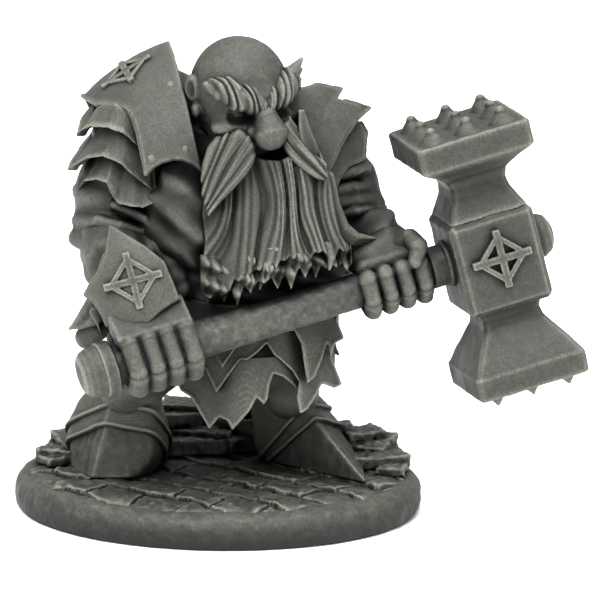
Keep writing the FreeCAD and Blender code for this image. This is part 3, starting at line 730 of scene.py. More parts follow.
def head(P):
    at = near("head")
    d = bead(P, on_face(0, 0, 0.1), (3.0, 3.15, 3.15), FACE)
    d = join(0.5, d, bead(P, on_face(0, 1.1, 0.2), (2.7, 2.25, 0.9), FACE))
    d = join(0.9, d, bead(P, on_face(0, 0.9, -2.2), (2.4, 2.2, 2.2), FACE))
    for s in (-1, 1):
        d = join(0.6, d, bead(P, on_face(1.75 * s, 2.0, -1.75), (1.25, 0.85, 0.6), FACE))
        d = carve(d, bead(P, on_face(1.35 * s, 3.3, -0.95), (1.2, 1.35, 0.62), FACE), 0.2)
        d = join(0.12, d, bead(P, on_face(1.25 * s, 2.05, -0.95), (0.5, 0.42, 0.32), FACE))
        lid = limb(P, (on_face(0.75 * s, 2.4, -0.75), 0.12), (on_face(1.3 * s, 2.45, -0.65), 0.13),
            (on_face(1.85 * s, 2.1, -0.78), 0.11))
        d = join(0.1, d, lid)
        ear = bead(P, on_face(3.0 * s, -0.6, 0.2), (0.40, 0.75, 0.95), FACE)
        ear = carve(ear, bead(P, on_face(3.35 * s, -0.25, 0.3), (0.26, 0.42, 0.6), FACE), 0.12)
        d = join(0.2, d, ear, bead(P, on_face(3.05 * s, 0.0, -1.0), (0.35, 0.4, 0.45), FACE))
    nose = limb(P, (on_face(0, 2.9, -0.4), 0.5), (on_face(0, 3.35, -1.0), 0.72),
        (on_face(0.05, 3.75, -1.95), 1.12))
    d = join(0.3, d, nose)
    for s in (-1, 1):
        d = join(0.22, d, ball(P, on_face(0.88 * s, 3.2, -2.0), 0.46))
    d = carve(d, bead(P, on_face(0, 3.0, -3.35), (1.0, 0.6, 0.35), FACE), 0.2)
    d = join(0.6, d, limb(P, (at(0.18, 2.48, -2.98), 2.2), (at(0.23, 1.08, -0.38), 2.2)))
    return d + pitted(P, 91, 0.02)


def brows(P):
    """Two bushy brows that overhang the eyes, combed up and outwards."""
    q = (P - on_face(0, 0, 0)) @ FACE.T
    d = None
    for s in (-1, 1):
        e = limb(P, (on_face(0.3 * s, 3.1, -0.35), 0.5), (on_face(1.2 * s, 2.9, 0.1), 0.78),
            (on_face(2.2 * s, 2.1, 0.6), 0.74), (on_face(2.8 * s, 1.3, 0.85), 0.42))
        e = e - hair((q[:, 0] - 0.22 * s * q[:, 2]) * 2.7, q[:, 2] * 2, 94 + s, 0.48) - 0.03
        d = e if d is None else melt(d, e, 0.05)
    for k in range(4):
        root = on_face(2.4 + 0.25 * k, 2.2 - 0.3 * k, 1.1 - 0.3 * k)
        end = on_face(3.55 + 0.15 * k, 1.6 - 0.35 * k, 1.75 - 0.75 * k)
        d = melt(d, limb(P, (root, 0.48), (end, 0.14)), 0.1)
    return d


def build_head():
    sculpt("head", head, 0.075, 1.4)
    sculpt("eyebrows", brows, 0.055, 1.6)


# ---- beard ----
BEARD = yawed(19)


def beard_coords(P):
    """Share of the way across from the middle, distance in front, and height."""
    at, up = near("beard"), height("beard")
    q = (P - at(-0.3, 5.43, -0.6)) @ BEARD.T
    z = P[:, 2] - up
    half = np.interp(z, (-6.1, -4.1, -1.6, 0.9, 3.4, 5.4), (5.0, 4.9, 4.4, 4.1, 3.9, 3.6)).astype(np.float32)
    return q[:, 0] / half, q[:, 1], z


def mane(P, outline, reach, seed, depth, back):
    """A slab of hair that follows the chest, cut to an outline and grooved into locks."""
    s, front, z = beard_coords(P)
    u, v = view_plane(P)
    d = front - reach(s, z) - hair(s * 4.4, z, seed, depth)
    d = keep(d * 0.8, polygon(u, v, outline), 0.12)
    return keep(d, back - front, 0.3)


def ragged(start, end, count, drop, seed):
    """A torn edge from one point to another, as outline points."""
    pts = []
    for k in range(count + 1):
        f = k / count
        x, v = start[0] + (end[0] - start[0]) * f, start[1] + (end[1] - start[1]) * f
        pts.append((x, v - (drop if k % 2 else 0) * (0.75 + 0.5 * math.sin(seed + k * 2.3))))
    return pts


def beard(P):
    at, flat = near("beard"), facing("beard")
    hem = []
    for start, end, count, drop, seed in (((4.66, -3.0), (1.1, -3.62), 14, 0.45, 1),
            ((1.04, -3.68), (-1.03, -4.43), 8, 0.45, 2), ((-1.09, -4.5), (-4.21, -5.87), 10, 0.55, 3)):
        hem += ragged(*flat(start, end), count, drop, seed)
    outline = flat((1.97, 5.44), (2.47, 4.0), (3.35, 1.94), (3.66, 0.57), (3.91, -1.0), (4.22, -2.25)) + hem
    outline += flat((-4.34, -4.43), (-4.15, -2.56), (-4.34, -1.0), (-4.21, 0.57), (-4.34, 2.44),
        (-4.46, 4.0), (-4.34, 5.5), (-3.9, 5.19), (-3.65, 4.19), (-2.9, 3.57), (-2.03, 3.19), (-1.28, 2.69),
        (-0.53, 2.38), (0.47, 2.32), (1.16, 2.63), (1.54, 3.32), (1.6, 4.44), (1.6, 5.44))

    def reach(s, z):
        return np.interp(z, (-6.1, -3.6, -0.6, 2.4, 4.9, 6.4), (7.2, 7.3, 7.0, 6.4, 5.7, 5.4)) - 1.9 * s * s
    d = mane(P, outline, reach, 1, 1.0, 3.0)
    locks = (((3.47, 1.13, 1.05), (3.79, 0.93, -0.72), (4.41, 0.83, -2.12), (5.22, 1.13, -2.79),
        (6.35, 1.73, -3.09)), ((3.47, 1.13, 0.85), (3.79, 0.93, -0.91), (4.29, 0.83, -2.28),
        (5.04, 1.13, -2.95), (6.07, 1.73, -3.29)),
        ((3.47, 1.13, 0.66), (3.79, 0.93, -1.11), (4.16, 0.83, -2.44), (4.85, 1.13, -3.12),
        (5.79, 1.73, -3.48)))
    for lock in locks:
        d = join(0.08, d, limb(P, *zip([at(*p) for p in lock], (0.36, 0.42, 0.38, 0.26, 0.08))))
    return d


def fringe(P):
    at, flat = near("beard_fringe"), facing("beard_fringe")
    hem = ragged(*flat((5.02, 0.75), (1.77, 0.38)), 10, 0.7, 5)
    hem += ragged(*flat((1.64, 0.25), (-4.17, -1.43)), 14, 0.95, 6)
    outline = flat((4.89, 2.13)) + hem + flat((-4.42, -0.68), (-4.42, 1.19))
    d = mane(P, outline, lambda s, z: 6.75 - 1.6 * s * s + 0.25 * np.sin(z * 5 + s * 9), 7, 1.5, 3.8)
    curls = (((-3.73, -0.38, -0.08), (-3.48, -0.68, -0.78), (-3.98, -0.78, -1.53)),
        ((-2.29, -0.38, 0.31), (-2.04, -0.68, -0.39), (-2.36, -0.78, -1.14)),
        ((-0.86, -0.38, 0.7), (-0.61, -0.68, 0.0), (-0.73, -0.78, -0.75)),
        ((0.58, -0.38, 1.15), (0.83, -0.68, 0.46), (0.33, -0.78, -0.29)),
        ((2.02, -0.38, 1.54), (2.27, -0.68, 0.85), (1.96, -0.78, 0.1)),
        ((3.46, -0.38, 1.93), (3.71, -0.68, 1.24), (3.58, -0.78, 0.49)))
    for curl in curls:
        d = join(0.12, d, limb(P, *zip([at(*p) for p in curl], (0.34, 0.26, 0.08))))
    return d


def moustache(P):
    """Two grooved lobes that part under the nose and sweep down over the beard."""
    at, flat = near("moustache"), facing("moustache")
    u, v = view_plane(P)
    w = P @ VIEW[1]
    left = flat((-1.03, 1.68), (-0.41, 1.31), (-0.03, 0.68), (-0.16, -0.13), (-0.66, -1.0), (-1.41, -1.82),
        (-2.22, -2.57), (-2.84, -3.5), (-3.16, -2.63), (-3.28, -1.5), (-3.22, -0.38), (-2.91, 0.62),
        (-2.34, 1.25), (-1.72, 1.56))
    right = flat((1.66, 2.0), (2.03, 2.56), (2.47, 1.93), (2.84, 1.12), (3.34, 0.37), (4.03, -0.19),
        (4.66, -0.69), (4.53, -1.32), (3.59, -1.13), (2.78, -0.69), (2.16, 0.0), (1.78, 0.87))
    lobes = None
    for outline, centre, lean, deep in ((left, at(-1.71, -1.06, -0.27), (-0.50, -0.86), 0.8),
            (right, at(2.89, -0.31, 0.23), (0.70, -0.71), 0.6)):
        x0, w0, v0 = VIEW @ centre
        cut = polygon(u, v, outline)
        du, dv = u - x0, v - v0
        along, across = du * lean[0] + dv * lean[1], du * lean[1] - dv * lean[0]
        arch = w0 - 0.10 * du * abs(lean[0]) - 0.12 * along - 0.16 * across ** 2
        strand = across / (1.25 - 0.17 * along)
        d = keep(cut, np.abs(w - arch) - deep, 0.4) - hair(strand * 3.7, along * 1.1, 9, 0.34) - 0.03
        lobes = d if lobes is None else np.minimum(lobes, d)
    return lobes * 0.8


def build_beard():
    sculpt("beard", beard, 0.07, 2.6)
    sculpt("beard_fringe", fringe, 0.075, 2.0)
    sculpt("moustache", moustache, 0.06, 1.8)


# ---- armour ----
def turned_view(degrees):
    """The view frame, turned about the line of sight."""
    a = math.radians(degrees)
    c, s = math.cos(a), math.sin(a)
    return np.array([VIEW[0] * c + VIEW[2] * s, VIEW[1], VIEW[2] * c - VIEW[0] * s], dtype=np.float32)


def lifted(pts, centre, radii, lean=0):
    """Puts outline points of the view plane onto the front of an egg-shaped shell."""
    F, c = turned_view(lean), VIEW @ centre
    out = []
    for x, v in pts:
        flat_point = centre + VIEW[0] * (x - c[0]) + VIEW[2] * (v - c[2])
        a, _, b = F @ (flat_point - centre)
        k = 1 - (a / radii[0]) ** 2 - (b / radii[2]) ** 2
        out.append(flat_point + VIEW[1] * radii[1] * math.sqrt(max(k, 0.02)))
    return out


def armour(centre, radii, outline, rim, thick=0.5, rim_r=0.14, back=None, seed=101, lean=0):
    """A curved plate: a shell cut to an outline as seen from the display side, with a raised rim."""
    F, edge = turned_view(lean), lifted(rim, centre, radii, lean)

    def field(P):
        u, v = view_plane(P)
        shell = np.abs(bead(P, centre, radii, F)) - thick / 2
        depth = (P - centre) @ VIEW[1]
        d = keep(keep(shell, polygon(u, v, outline), 0.1), -depth - (0.2 if back else 0), 0.1)
        if back:
            flatter = np.abs(bead(P, centre, (radii[0], radii[1] * 0.6, radii[2]), F)) - thick / 2
            rear = keep(keep(flatter, polygon(u, v, back), 0.1), depth - 0.2, 0.1)
            d = np.minimum(d, rear)
        d = join(0.15, d, limb(P, *[(p, rim_r) for p in edge]))
        return d + pitted(P, seed, 0.018)
    return field


def crest(centre, out, side, size=1.0):
    """A plain relief badge: a lozenge frame over two crossed bars."""
    out, side = unit(out), unit(side - out * (side @ unit(out)))
    F = np.array([side, out, np.cross(side, out)], dtype=np.float32)
    turned = np.array([F[0] + F[2], F[1] * math.sqrt(2), F[2] - F[0]], dtype=np.float32) / math.sqrt(2)

    def field(P):
        d = brick(P, centre, (1.55 * size, 0.32, 0.2 * size), F, 0.08)
        d = np.minimum(d, brick(P, centre, (0.2 * size, 0.32, 1.5 * size), F, 0.08))
        lozenge = brick(P, centre, (0.95 * size, 0.3, 0.95 * size), turned, 0.06)
        lozenge = carve(lozenge, brick(P, centre, (0.68 * size, 1.0, 0.68 * size), turned, 0.02), 0.05)
        return np.minimum(d, lozenge)
    return field


def lame(axis, radius, edge, top, tip, seed):
    """A strip of plate round the arm, with a flared lower edge.

    The edge is a list of bearings from straight out to the side, and the heights there.
    """
    back, flare = -100, 0.2
    bearings, heights = zip(*edge)

    def field(P):
        x, y, z = (P - axis).T
        r, bearing = np.hypot(x, y), np.degrees(np.arctan2(-y, -x))
        h = z - np.interp(np.abs(bearing), bearings, heights)
        out = radius + flare * np.exp(-np.maximum(h, 0) / 0.5) + tip * np.exp(-(bearing / 24) ** 2)
        out = out - np.maximum(h, 0) * (0.42 + 0.2 * np.exp(-(bearing / 40) ** 2))
        out = out + 0.06 * lump(np.stack([bearing / 9, z / 2.5, 0 * z], 1), 1.0, seed)
        d = np.abs(r - out) - 0.20 - 0.13 * np.exp(-(h / 0.22) ** 2)
        d = keep(d * 0.8, -h * 0.75, 0.1)
        sides = np.maximum(back - bearing, bearing - bearings[-1]) * radius * 0.0175
        return keep(keep(d, sides, 0.1), h - top, 0.15) + pitted(P, seed + 1, 0.018)
    return field


def build_right_shoulder():
    at, flat = near("right_shoulder_plate"), facing("right_shoulder_plate")
    shell, radii, lean = at(2.27, 2.65, -3.45), (8.8, 7.2, 6.1), 31
    outline = flat((1.57, 4.05), (1.95, 3.05), (2.7, 0.18), (3.32, -2.57), (3.7, -4.13), (3.07, -3.63),
        (2.45, -3.38), (1.82, -3.38), (1.2, -3.57), (0.63, -3.88), (0.13, -4.32), (-0.05, -3.01),
        (-0.3, -1.82), (-0.62, -0.82), (-0.99, -0.32), (-1.55, -0.07), (-2.18, -0.01), (-2.8, -0.01),
        (-3.3, 0.24), (-3.87, 0.55), (-3.55, 1.43), (-2.93, 2.3), (-1.68, 3.68), (-0.05, 4.8), (1.32, 4.43))
    back = flat((1.32, 4.43), (1.57, 4.05), (2.07, 1.05), (0.32, -3.32), (-1.55, -2.7), (-3.12, -0.82),
        (-3.8, 0.62), (-3.43, 2.05), (-1.68, 3.8), (-0.05, 4.8))
    rim = flat((3.7, -4.07), (3.07, -3.57), (2.45, -3.32), (1.82, -3.32), (1.2, -3.51), (0.63, -3.82),
        (0.2, -4.26), (-0.05, -3.01), (-0.3, -1.82), (-0.62, -0.82), (-0.99, -0.26), (-1.55, -0.01),
        (-2.18, 0.05), (-2.8, -0.01), (-3.3, 0.3), (-3.8, 0.62))
    plate = armour(shell, radii, outline, rim, 0.55, 0.15, back, 111, lean)
    sculpt("right_shoulder_plate", plate, 0.075, 2, "armour_resin", at(-5.23, -6.05, -6.45),
        at(5.17, 9.35, 5.15))
    heads = lifted(flat((1.76, 1.12), (2.63, -2.76), (0.57, -3.32)), shell, radii, lean)
    sculpt("shoulder_rivets", lambda P: np.min([bead(P, p, (0.36, 0.36, 0.36)) for p in heads], axis=0),
        0.05, 2.2, "armour_resin")
    centre = lifted(flat((-0.93, 1.87)), shell, radii, lean)[0]
    F = turned_view(lean)
    out = unit(F.T @ ((F @ (centre - shell)) / vec(*radii) ** 2))
    sculpt("shoulder_emblem", crest(centre + out * 0.1, out, F[0], 1.15), 0.06, 2.8, "armour_resin")
    lames = (
        ((1.72, 0.32, 0.0), 3.6, 1.35, 0.1,
         ((0, -0.56), (18, 0.14), (36, 0.74), (58, 0.94), (72, 0.69), (86, -0.06), (96, -0.76))),
        ((2.56, 0.35, 0.0), 3.8, 2.9, 0.45,
         ((0, -0.79), (18, -0.09), (36, 0.71), (55, 1.11), (72, 0.71), (86, -0.19), (98, -0.89))),
        ((3.15, 0.39, 0.0), 3.85, 3.0, 0.15,
         ((0, -0.51), (16, -0.01), (30, 1.09), (48, 1.49), (58, 1.39), (68, 0.19), (90, -0.01), (104, 0.39))))
    for number, (axis, radius, top, tip, edge) in enumerate(lames, 1):
        node = f"right_lame_{number}"
        axis, hem = near(node)(*axis), edge[0][1]
        low, high = axis + vec(-5.8, -6.3, hem - 1), axis + vec(5.1, 5.9, hem + 5.6)
        field = lame(axis, radius, edge, top, tip, 118 + 3 * number)
        sculpt(node, field, 0.08, 2.0, "armour_resin", low, high)


def leaf(node, centre, radii, seed, below, above, rim, front, back):
    """Sculpts one plate of the left shoulder from its rim and the outlines of its front and back."""
    flat, c = facing(node), near(node)(*centre)
    field = armour(c, radii, flat(*front), flat(*rim), back=flat(*back), seed=seed)
    sculpt(node, field, 0.08, 2, "armour_resin", c - vec(*below), c + vec(*above))


def build_left_shoulder():
    front = [(-1.79, 1.83), (-0.54, 2.2), (0.4, 2.52), (2.03, 2.2), (1.59, 1.52), (1.15, 0.7), (0.9, -0.8),
        (0.78, -2.3), (0.09, -2.92), (-1.16, -2.17)]
    back = [(-2.04, 1.7), (-0.54, 2.33), (0.4, 2.52), (1.96, 2.2), (1.59, 1.45), (1.46, -2.48),
        (-0.54, -3.11), (-1.79, -0.92)]
    leaf("left_shoulder_plate", (-1.46, 1.41, -1.16), (4.2, 5.0, 4.6), 131, (4.4, 6, 6), (5.2, 5.6, 5.4),
        [(0.46, 2.45), *front[3:7], (0.78, -2.23)], front, back)
    front = [(-1.06, 2.68), (-0.31, 2.18), (2.12, 1.49), (1.31, 0.74), (0.69, -0.14), (0.19, -1.01),
        (-0.06, -1.7), (-0.5, -2.45), (-1.19, -2.01), (-1.56, 0.18)]
    back = [(-1.56, 2.68), (-0.31, 2.3), (2.06, 1.49), (1.31, 0.68), (1.06, -1.07), (0.62, -3.57),
        (-1.44, -2.95)]
    leaf("left_lame_1", (-2.41, 0.3, -1.29), (4.9, 5.2, 4.8), 132, (4, 6, 6), (5.6, 5.6, 5.6),
        [(0.62, 1.93), *front[2:7], (-0.44, -2.39)], front, back)
    front = [(-1.21, 2.63), (0.16, 2.57), (0.72, 2.26), (1.04, 1.7), (0.97, 1.07), (0.91, 0.13),
        (0.41, -0.18), (-0.15, -0.43), (-0.65, -1.05), (-0.96, -1.87), (-1.15, -2.3), (-1.59, -1.24)]
    leaf("left_lame_2", (-3.01, 0.06, -0.65), (4.4, 4.6, 5.0), 133, (4, 6, 6), (5.2, 5.4, 5.6),
        [*front[2:10], (-1.15, -2.24)], front, front)


# ---- arms ----
def build_arms():
    def right_sleeve(P):
        at = near("right_upper_arm")
        d = limb(P, (at(1.94, 1.5, 3.4), 3.1), (at(0.74, 0.8, 2.1), 2.95), (at(0.84, 0.8, 0.9), 3.1),
            (at(-0.86, -0.2, -1.6), 2.45), (at(-1.11, -0.8, -3.51), 2.1))
        d = join(0.4, d, limb(P, (at(-2.98, -1.2, -2.75), 0.4), (at(-1.73, -2.8, -2.22), 0.42),
            (at(-0.36, -3.4, -2.38), 0.4), (at(1.27, -3.2, -2.95), 0.3)))
        d = join(0.4, d, limb(P, (at(-3.11, -1.2, -3.79), 0.5), (at(-1.98, -2.8, -3.85), 0.5),
            (at(-1.11, -3.4, -4.07), 0.4)))
        d = join(0.4, d, limb(P, (at(-0.61, -2.8, -1.25), 0.35), (at(1.14, -3.4, -1.99), 0.4),
            (at(2.02, -3.4, -3.03), 0.3)))
        return d + 0.13 * lump(P, (1.6, 1.6, 0.8), 141) + pitted(P, 145, 0.02)

    def right_lower(P):
        at = near("right_forearm")
        d = limb(P, (at(-0.59, 2.25, 1.51), 2.1), (at(-0.09, -0.35, 0.56), 2.2),
            (at(1.16, -2.75, -1.61), 1.7))
        for a, b, r in (((0.78, 0.25, 1.3), (2.41, -0.15, 1.29), 1.2),
                ((1.28, 0.25, 0.52), (2.91, -0.4, 0.58), 1.1),
                ((1.78, 0.25, -0.39), (3.41, -0.65, -0.26), 0.95),
                ((2.28, 0.25, -1.3), (3.91, -0.9, -1.1), 0.7)):
            d = join(0.25, d, limb(P, (at(*a), r), (at(*b), r * 0.8)))
        return d + 0.14 * lump(P, (0.9, 0.9, 0.9), 142) + pitted(P, 146, 0.02)

    def left_sleeve(P):
        at = near("left_upper_arm")
        d = limb(P, (at(-2.11, -0.07, 2.87), 2.5), (at(-0.91, -0.07, 1.87), 2.3),
            (at(0.81, -0.07, 0.27), 1.8), (at(1.31, -0.87, -1.13), 1.75))
        for a, b, c in (((-0.31, -3.37, 1.35), (0.94, -2.67, 1.54), (1.94, -1.07, 1.47)),
                ((-0.13, -3.37, 0.44), (1.06, -2.67, 0.5), (2.25, -1.07, 0.17)),
                ((0.06, -3.37, -0.34), (1.31, -2.67, -0.35), (2.69, -1.07, -0.94))):
            d = join(0.3, d, limb(P, (at(*a), 0.38), (at(*b), 0.42), (at(*c), 0.36)))
        hem = limb(P, (at(0.06, -3.17, -1.18), 0.26), (at(1.31, -3.27, -0.89), 0.3),
            (at(2.44, -2.07, -1.04), 0.28), (at(3.06, -0.87, -1.32), 0.2))
        return join(0.12, d + 0.08 * lump(P, 1.0, 147), hem) + pitted(P, 148, 0.02)

    def left_lower(P):
        at = near("left_forearm")
        d = limb(P, (at(-1.23, 0.5, 0.67), 1.9), (at(-0.23, -0.5, 0.57), 1.75), (at(1.02, -2.5, 0.23), 1.25))
        folds = 0.12 * np.sin((P[:, 0] * 0.5 - P[:, 2]) * 4.2)
        return d + 0.08 * lump(P, 1.2, 144) + folds + pitted(P, 149, 0.02)

    lo, hi = box("right_upper_arm")
    sculpt("right_upper_arm", right_sleeve, 0.085, 0, "figure_resin", lo - 1.6, hi + vec(2.4, 2.2, 3.6))
    sculpt("right_forearm", right_lower, 0.085, 2.2)
    lo, hi = box("left_upper_arm")
    sculpt("left_upper_arm", left_sleeve, 0.085, 0, "figure_resin", lo - vec(2.6, 1.6, 1.6),
        hi + vec(1.6, 1.6, 2.6))
    sculpt("left_forearm", left_lower, 0.085, 2.2)
    at, flat = near("right_bracer"), facing("right_bracer")
    c, radii = at(0.1, 0.27, -0.57), (3.6, 3.1, 4.4)
    outline = flat((-1.65, 3.28), (-0.53, 2.59), (0.6, 1.9), (1.72, 0.96), (2.29, -0.29), (2.66, -1.29),
        (1.85, -1.79), (1.16, -2.35), (0.72, -2.79), (-0.4, -2.85), (-1.78, -3.04), (-2.15, -2.16),
        (-2.65, -1.41), (-3.21, -1.1), (-2.78, -0.35), (-2.28, 0.34), (-1.96, 1.34))
    rim = flat((-1.96, 1.34), (-2.28, 0.34), (-2.78, -0.35), (-3.15, -1.1), (-2.65, -1.41), (-2.15, -2.16),
        (-1.78, -2.97), (-0.4, -2.79), (0.72, -2.72), (1.16, -2.29), (1.85, -1.72), (2.6, -1.29))
    plate = armour(c, radii, outline, rim, 0.45, 0.13, None, 151)
    sculpt("right_bracer", plate, 0.075, 2.0, "armour_resin", c - vec(4.5, 4.2, 5.0), c + vec(4.2, 3.0, 5.2))
    centre = lifted(flat((-0.21, -0.22)), c, radii)[0]
    sculpt("bracer_emblem", crest(centre, VIEW[1], vec(0.9, 0.0, 0.25), 1.2), 0.06, 2.2, "armour_resin")

    def spurs(P):
        at = near("bracer_spurs")
        a = limb(P, (at(0.66, -1.85, -0.17), 0.7), (at(-0.21, -1.45, -1.32), 0.42),
            (at(-1.15, -0.65, -2.39), 0.06))
        a = join(0.2, a, limb(P, (at(0.54, -2.25, -1.22), 0.42), (at(-0.34, -1.25, -1.96), 0.25),
            (at(-1.09, -0.65, -2.33), 0.06)))
        a = join(0.2, a, limb(P, (at(0.54, -2.65, -0.72), 0.42), (at(0.79, -3.15, -1.22), 0.3),
            (at(1.04, -3.45, -2.05), 0.08)))
        b = limb(P, (at(0.66, -0.65, -2.2), 0.85), (at(-0.09, -0.25, -3.03), 0.72))
        return join(0.1, a, b) + pitted(P, 152, 0.02)
    sculpt("bracer_spurs", spurs, 0.065, 2.2, "armour_resin")


# ---- hands ----
# The haft is thinnest at the block and thickens towards the pommel.
HAFT_THIN, HAFT_THICK, HAFT_TAPER = 1.0, 1.28, 26.0
RIGHT_GRIP, LEFT_GRIP = -21.95, -6.5  # places of the hands along the haft


def haft_radius(t):
    return HAFT_THIN + (HAFT_THICK - HAFT_THIN) * np.clip(-t / HAFT_TAPER, 0, 1)


def round_haft(t, angle, reach):
    """A point round the haft: angle 0 is its front and 90 its top."""
    a = math.radians(angle)
    return haft(t, reach * math.cos(a), reach * math.sin(a))


def fingers(P, at, pitch, r, reach, knuckle_at, bends):
    """Four fingers closed round the haft, each of three joints that meet at a step."""
    d = None
    for i in range(4):
        t = at + (i - 1.5) * pitch
        first = limb(P, (round_haft(t, knuckle_at, reach), r),
            (round_haft(t, bends[0] + 6, reach + 0.10), r * 0.96))
        second = limb(P, (round_haft(t, bends[0] - 9, reach), r * 1.06),
            (round_haft(t, bends[1] + 6, reach), r))
        third = limb(P, (round_haft(t, bends[1] - 10, reach - 0.1), r),
            (round_haft(t, -150, reach - 0.15), r * 0.9))
        knuckle = ball(P, round_haft(t, knuckle_at + 3, reach + 0.04), r * 1.10)
        e = np.minimum(np.minimum(first, second), np.minimum(third, knuckle))
        d = e if d is None else melt(d, e, 0.03)
    return d


def build_hands():
    def right(P):
        at = near("right_hand")
        d = fingers(P, RIGHT_GRIP, 1.2, 0.63, 1.78, 50, (-16, -68))
        slope = np.array([HAFT, unit(HEAD_UP - HAFT_FRONT * 0.9), unit(HEAD_UP * 0.9 + HAFT_FRONT)],
            dtype=np.float32)
        back = brick(P, haft(RIGHT_GRIP - 0.1, 0.55, 2.15), (2.45, 1.0, 0.62), slope, 0.2)
        palm = limb(P, (round_haft(RIGHT_GRIP - 1.6, 150, 2.0), 1.0),
            (round_haft(RIGHT_GRIP + 1.6, 150, 2.0), 1.0))
        wrist = limb(P, (haft(RIGHT_GRIP, -0.9, 2.7), 1.35), (at(-0.89, 2.68, 2.17), 1.4))
        thumb = limb(P, (round_haft(RIGHT_GRIP + 2.0, 140, 1.9), 0.8),
            (round_haft(RIGHT_GRIP + 2.6, 200, 1.8), 0.6), (round_haft(RIGHT_GRIP + 1.8, 250, 1.8), 0.5))
        return join(0.12, join(0.4, back, palm, wrist, thumb), d) + pitted(P, 153, 0.02)

    def left(P):
        at = near("left_hand")
        d = fingers(P, LEFT_GRIP, 1.14, 0.545, 1.5, 30, (-22, -72))
        back = limb(P, (round_haft(LEFT_GRIP - 1.5, 112, 1.75), 0.9),
            (round_haft(LEFT_GRIP + 1.5, 105, 1.75), 0.9))
        back = join(0.4, back, limb(P, (round_haft(LEFT_GRIP - 1.5, 75, 1.45), 0.6),
            (round_haft(LEFT_GRIP + 1.4, 75, 1.45), 0.6)))
        thumb = limb(P, (at(0.6, 0.45, 1.96), 0.72), (at(1.29, -0.15, 2.52), 0.56),
            (at(1.79, -0.85, 2.13), 0.62))
        thumb = np.minimum(thumb, limb(P, (at(1.79, -0.95, 1.97), 0.56), (at(1.6, -1.35, 1.3), 0.44)))
        wrist = limb(P, (round_haft(LEFT_GRIP - 0.8, 110, 1.8), 1.1), (at(-0.02, 1.05, 1.65), 1.2))
        return join(0.12, join(0.35, back, wrist), thumb, d) + pitted(P, 154, 0.02)
    sculpt("right_hand", right, 0.07, 2.0)
    sculpt("left_hand", left, 0.07, 2.0)


# ---- war hammer ----
def in_hammer(P):
    q = (P - HAFT_MID) @ HAMMER.T
    return q[:, 0], q[:, 1], q[:, 2]


DIAGONAL = 0.7071  # half the square root of 2


def square(t, n, w, corner):
    """Distance from a square section with chamfered corners."""
    a, b = np.abs(t), np.abs(n)
    return np.maximum(np.maximum(a, b) - w, (a + b - 2 * w + corner) * DIAGONAL)


def striker(sign, profile):
    places, widths = zip(*profile)

    def field(P):
        t, n, a = in_hammer(P)
        a = a * sign
        w = np.interp(a, places, widths).astype(np.float32)
        d = square(t, n, w, 0.22) * 0.8
        d = keep(keep(d, a - places[-1], 0.16), places[0] - a, 0.05)
        return d + pitted(P, 161, 0.02)
    return field


def spikes(sign, top, pitch, tall, r, blunt):
    def field(P):
        d = None
        for i in (-1, 0, 1):
            for k in (-1, 0, 1):
                foot = haft(i * pitch, k * pitch, sign * (top - 0.25))
                e = limb(P, (foot, r), (foot + HEAD_UP * sign * tall, blunt))
                d = e if d is None else np.minimum(d, e)
        return d + 0.05 * lump(P, 0.5, 171)
    return field


def build_hammer():
    def shaft(P):
        t, n, a = in_hammer(P)
        d = np.hypot(n, a) - haft_radius(t)
        d = keep(keep(d, t - 2.0, 0.05), -26.2 - t, 0.05)
        return d * 0.95 + pitted(P, 181, 0.045)

    def turned(profile, seed):
        places, radii = zip(*profile)

        def field(P):
            t, n, a = in_hammer(P)
            d = (np.hypot(n, a) - np.interp(t, places, radii)) * 0.8
            return keep(keep(d, t - places[-1], 0.12), places[0] - t, 0.2) + pitted(P, seed, 0.02)
        return field

    def core(P):
        t, n, a = in_hammer(P)
        q = np.stack([np.abs(t), np.abs(n), np.abs(a + 0.3)], 1) - vec(2.75, 2.75, 3.05)
        d = q.max(axis=1)
        for i, j in ((0, 1), (1, 2), (0, 2)):
            d = np.maximum(d, (q[:, i] + q[:, j] + 0.34) * DIAGONAL)
        return d + pitted(P, 182, 0.02)
    slot = "hammer_resin"
    sculpt("hammer_haft", shaft, 0.1, 0.8, slot)
    profiles = {"pommel_cap": ((-27.15, 0.5), (-27.0, 1.1), (-26.7, 1.42), (-26.3, 1.58), (-25.6, 1.62)),
        "pommel_band": ((-25.8, 1.5), (-25.7, 1.72), (-24.9, 1.72), (-24.75, 1.5)),
        "haft_collar": ((-4.1, 1.15), (-4.0, 1.3), (-3.1, 1.3), (-3.0, 1.5), (-2.7, 1.5)),
        "haft_end_boss": ((2.4, 1.4), (3.3, 1.4), (3.8, 1.15), (4.1, 0.6))}
    for seed, (node, profile) in enumerate(profiles.items(), 183):
        sculpt(node, turned(profile, seed), 0.08, 0.8, slot)
    sculpt("hammer_block", core, 0.085, 0.6, slot)
    upper = ((2.7, 2.55), (3.2, 2.3), (4.1, 1.9), (4.7, 1.8), (5.3, 2.0), (5.9, 2.7), (6.4, 3.45),
        (6.6, 3.68), (8.2, 3.68))
    lower = ((2.9, 2.4), (3.5, 2.0), (3.9, 1.85), (4.4, 1.95), (5.1, 2.4), (6.0, 3.0), (6.85, 3.48),
        (6.95, 3.6), (8.4, 3.6))
    sculpt("upper_striker", striker(1, upper), 0.09, 0.8, slot)
    sculpt("lower_striker", striker(-1, lower), 0.09, 0.8, slot)
    sculpt("upper_spikes", spikes(1, 8.2, 2.3, 0.88, 1.1, 0.34), 0.07, 0.8, slot)
    sculpt("lower_spikes", spikes(-1, 8.4, 2.35, 0.85, 0.75, 0.12), 0.07, 0.8, slot)
    badge = crest(haft(0, 2.85, 0), HAFT_FRONT, HAFT, 1.25)
    rear = crest(haft(0, -2.85, 0), -HAFT_FRONT, HAFT, 1.25)
    sculpt("hammer_emblems", lambda P: np.minimum(badge(P), rear(P)), 0.07, 0.8, slot)


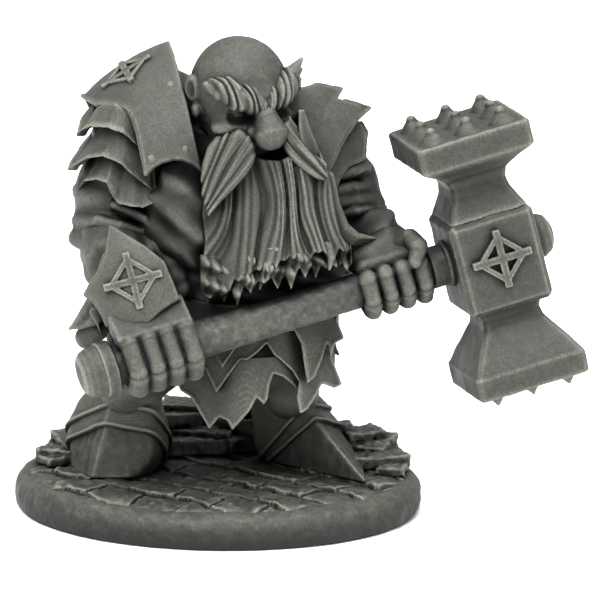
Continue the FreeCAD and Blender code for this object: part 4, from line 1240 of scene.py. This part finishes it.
# ---- stage ----
def build_stage():
    scene = bpy.context.scene
    floor = bpy.data.meshes.new("floor")
    half = 2.5
    floor.from_pydata([(-half, -half, 0), (half, -half, 0), (half, half, 0), (-half, half, 0)], [],
        [(0, 1, 2, 3)])
    floor = bpy.data.objects.new("floor", floor)
    scene.collection.objects.link(floor)
    pale = bpy.data.materials.new("pale_floor")
    pale.use_nodes = True
    shader = pale.node_tree.nodes["Principled BSDF"]
    shader.inputs["Base Color"].default_value = (0.9, 0.9, 0.9, 1)
    shader.inputs["Roughness"].default_value = 0.8
    floor.data.materials.append(pale)
    up, ahead = Vector((0, ES, EC)), Vector((0, EC, -ES))
    corners = np.array([box(piece["node"]) for piece in frame["record"]["subparts"]])
    middle = Vector(((corners[:, 0].min(axis=0) + corners[:, 1].max(axis=0)) / 2).tolist())
    target = (middle + Vector((-0.121, 0, 0)) - up * 1.898 + ahead * 4.894) * MM
    distance, sensor, width_seen = 1.0, 36, 0.0375
    cam = bpy.data.cameras.new("camera")
    cam.sensor_width = sensor
    cam.lens = sensor * distance / width_seen
    cam.clip_start, cam.clip_end = 0.01, 10
    camera = bpy.data.objects.new("camera", cam)
    aim = ahead.to_track_quat("-Z", "Y").to_matrix().to_4x4()
    camera.matrix_world = Matrix.Translation(target - ahead * distance) @ aim
    scene.collection.objects.link(camera)
    scene.camera = camera
    lamps = (("key", (-0.10, -0.30, 0.42), 0.35, 4.0), ("top", (0.05, 0.02, 0.55), 0.9, 9.5),
        ("fill", (0.40, -0.25, 0.16), 0.3, 0.8))
    chest = Vector((0.004, 0, 0.015))
    for name, place, size, power in lamps:
        lamp = bpy.data.lights.new(name, "AREA")
        lamp.size, lamp.energy = size, power
        light = bpy.data.objects.new(name, lamp)
        light.location = place
        light.rotation_euler = (chest - Vector(place)).to_track_quat("-Z", "Y").to_euler()
        scene.collection.objects.link(light)
    world = bpy.data.worlds.new("studio")
    world.use_nodes = True
    background = world.node_tree.nodes["Background"]
    background.inputs["Color"].default_value = (1, 1, 1, 1)
    background.inputs["Strength"].default_value = 0.42
    scene.world = world
    scene.view_settings.view_transform = "Standard"


build_stage()
build_base()
build_legs()
build_trunk()
build_head()
build_beard()
build_right_shoulder()
build_left_shoulder()
build_arms()
build_hands()
build_hammer()
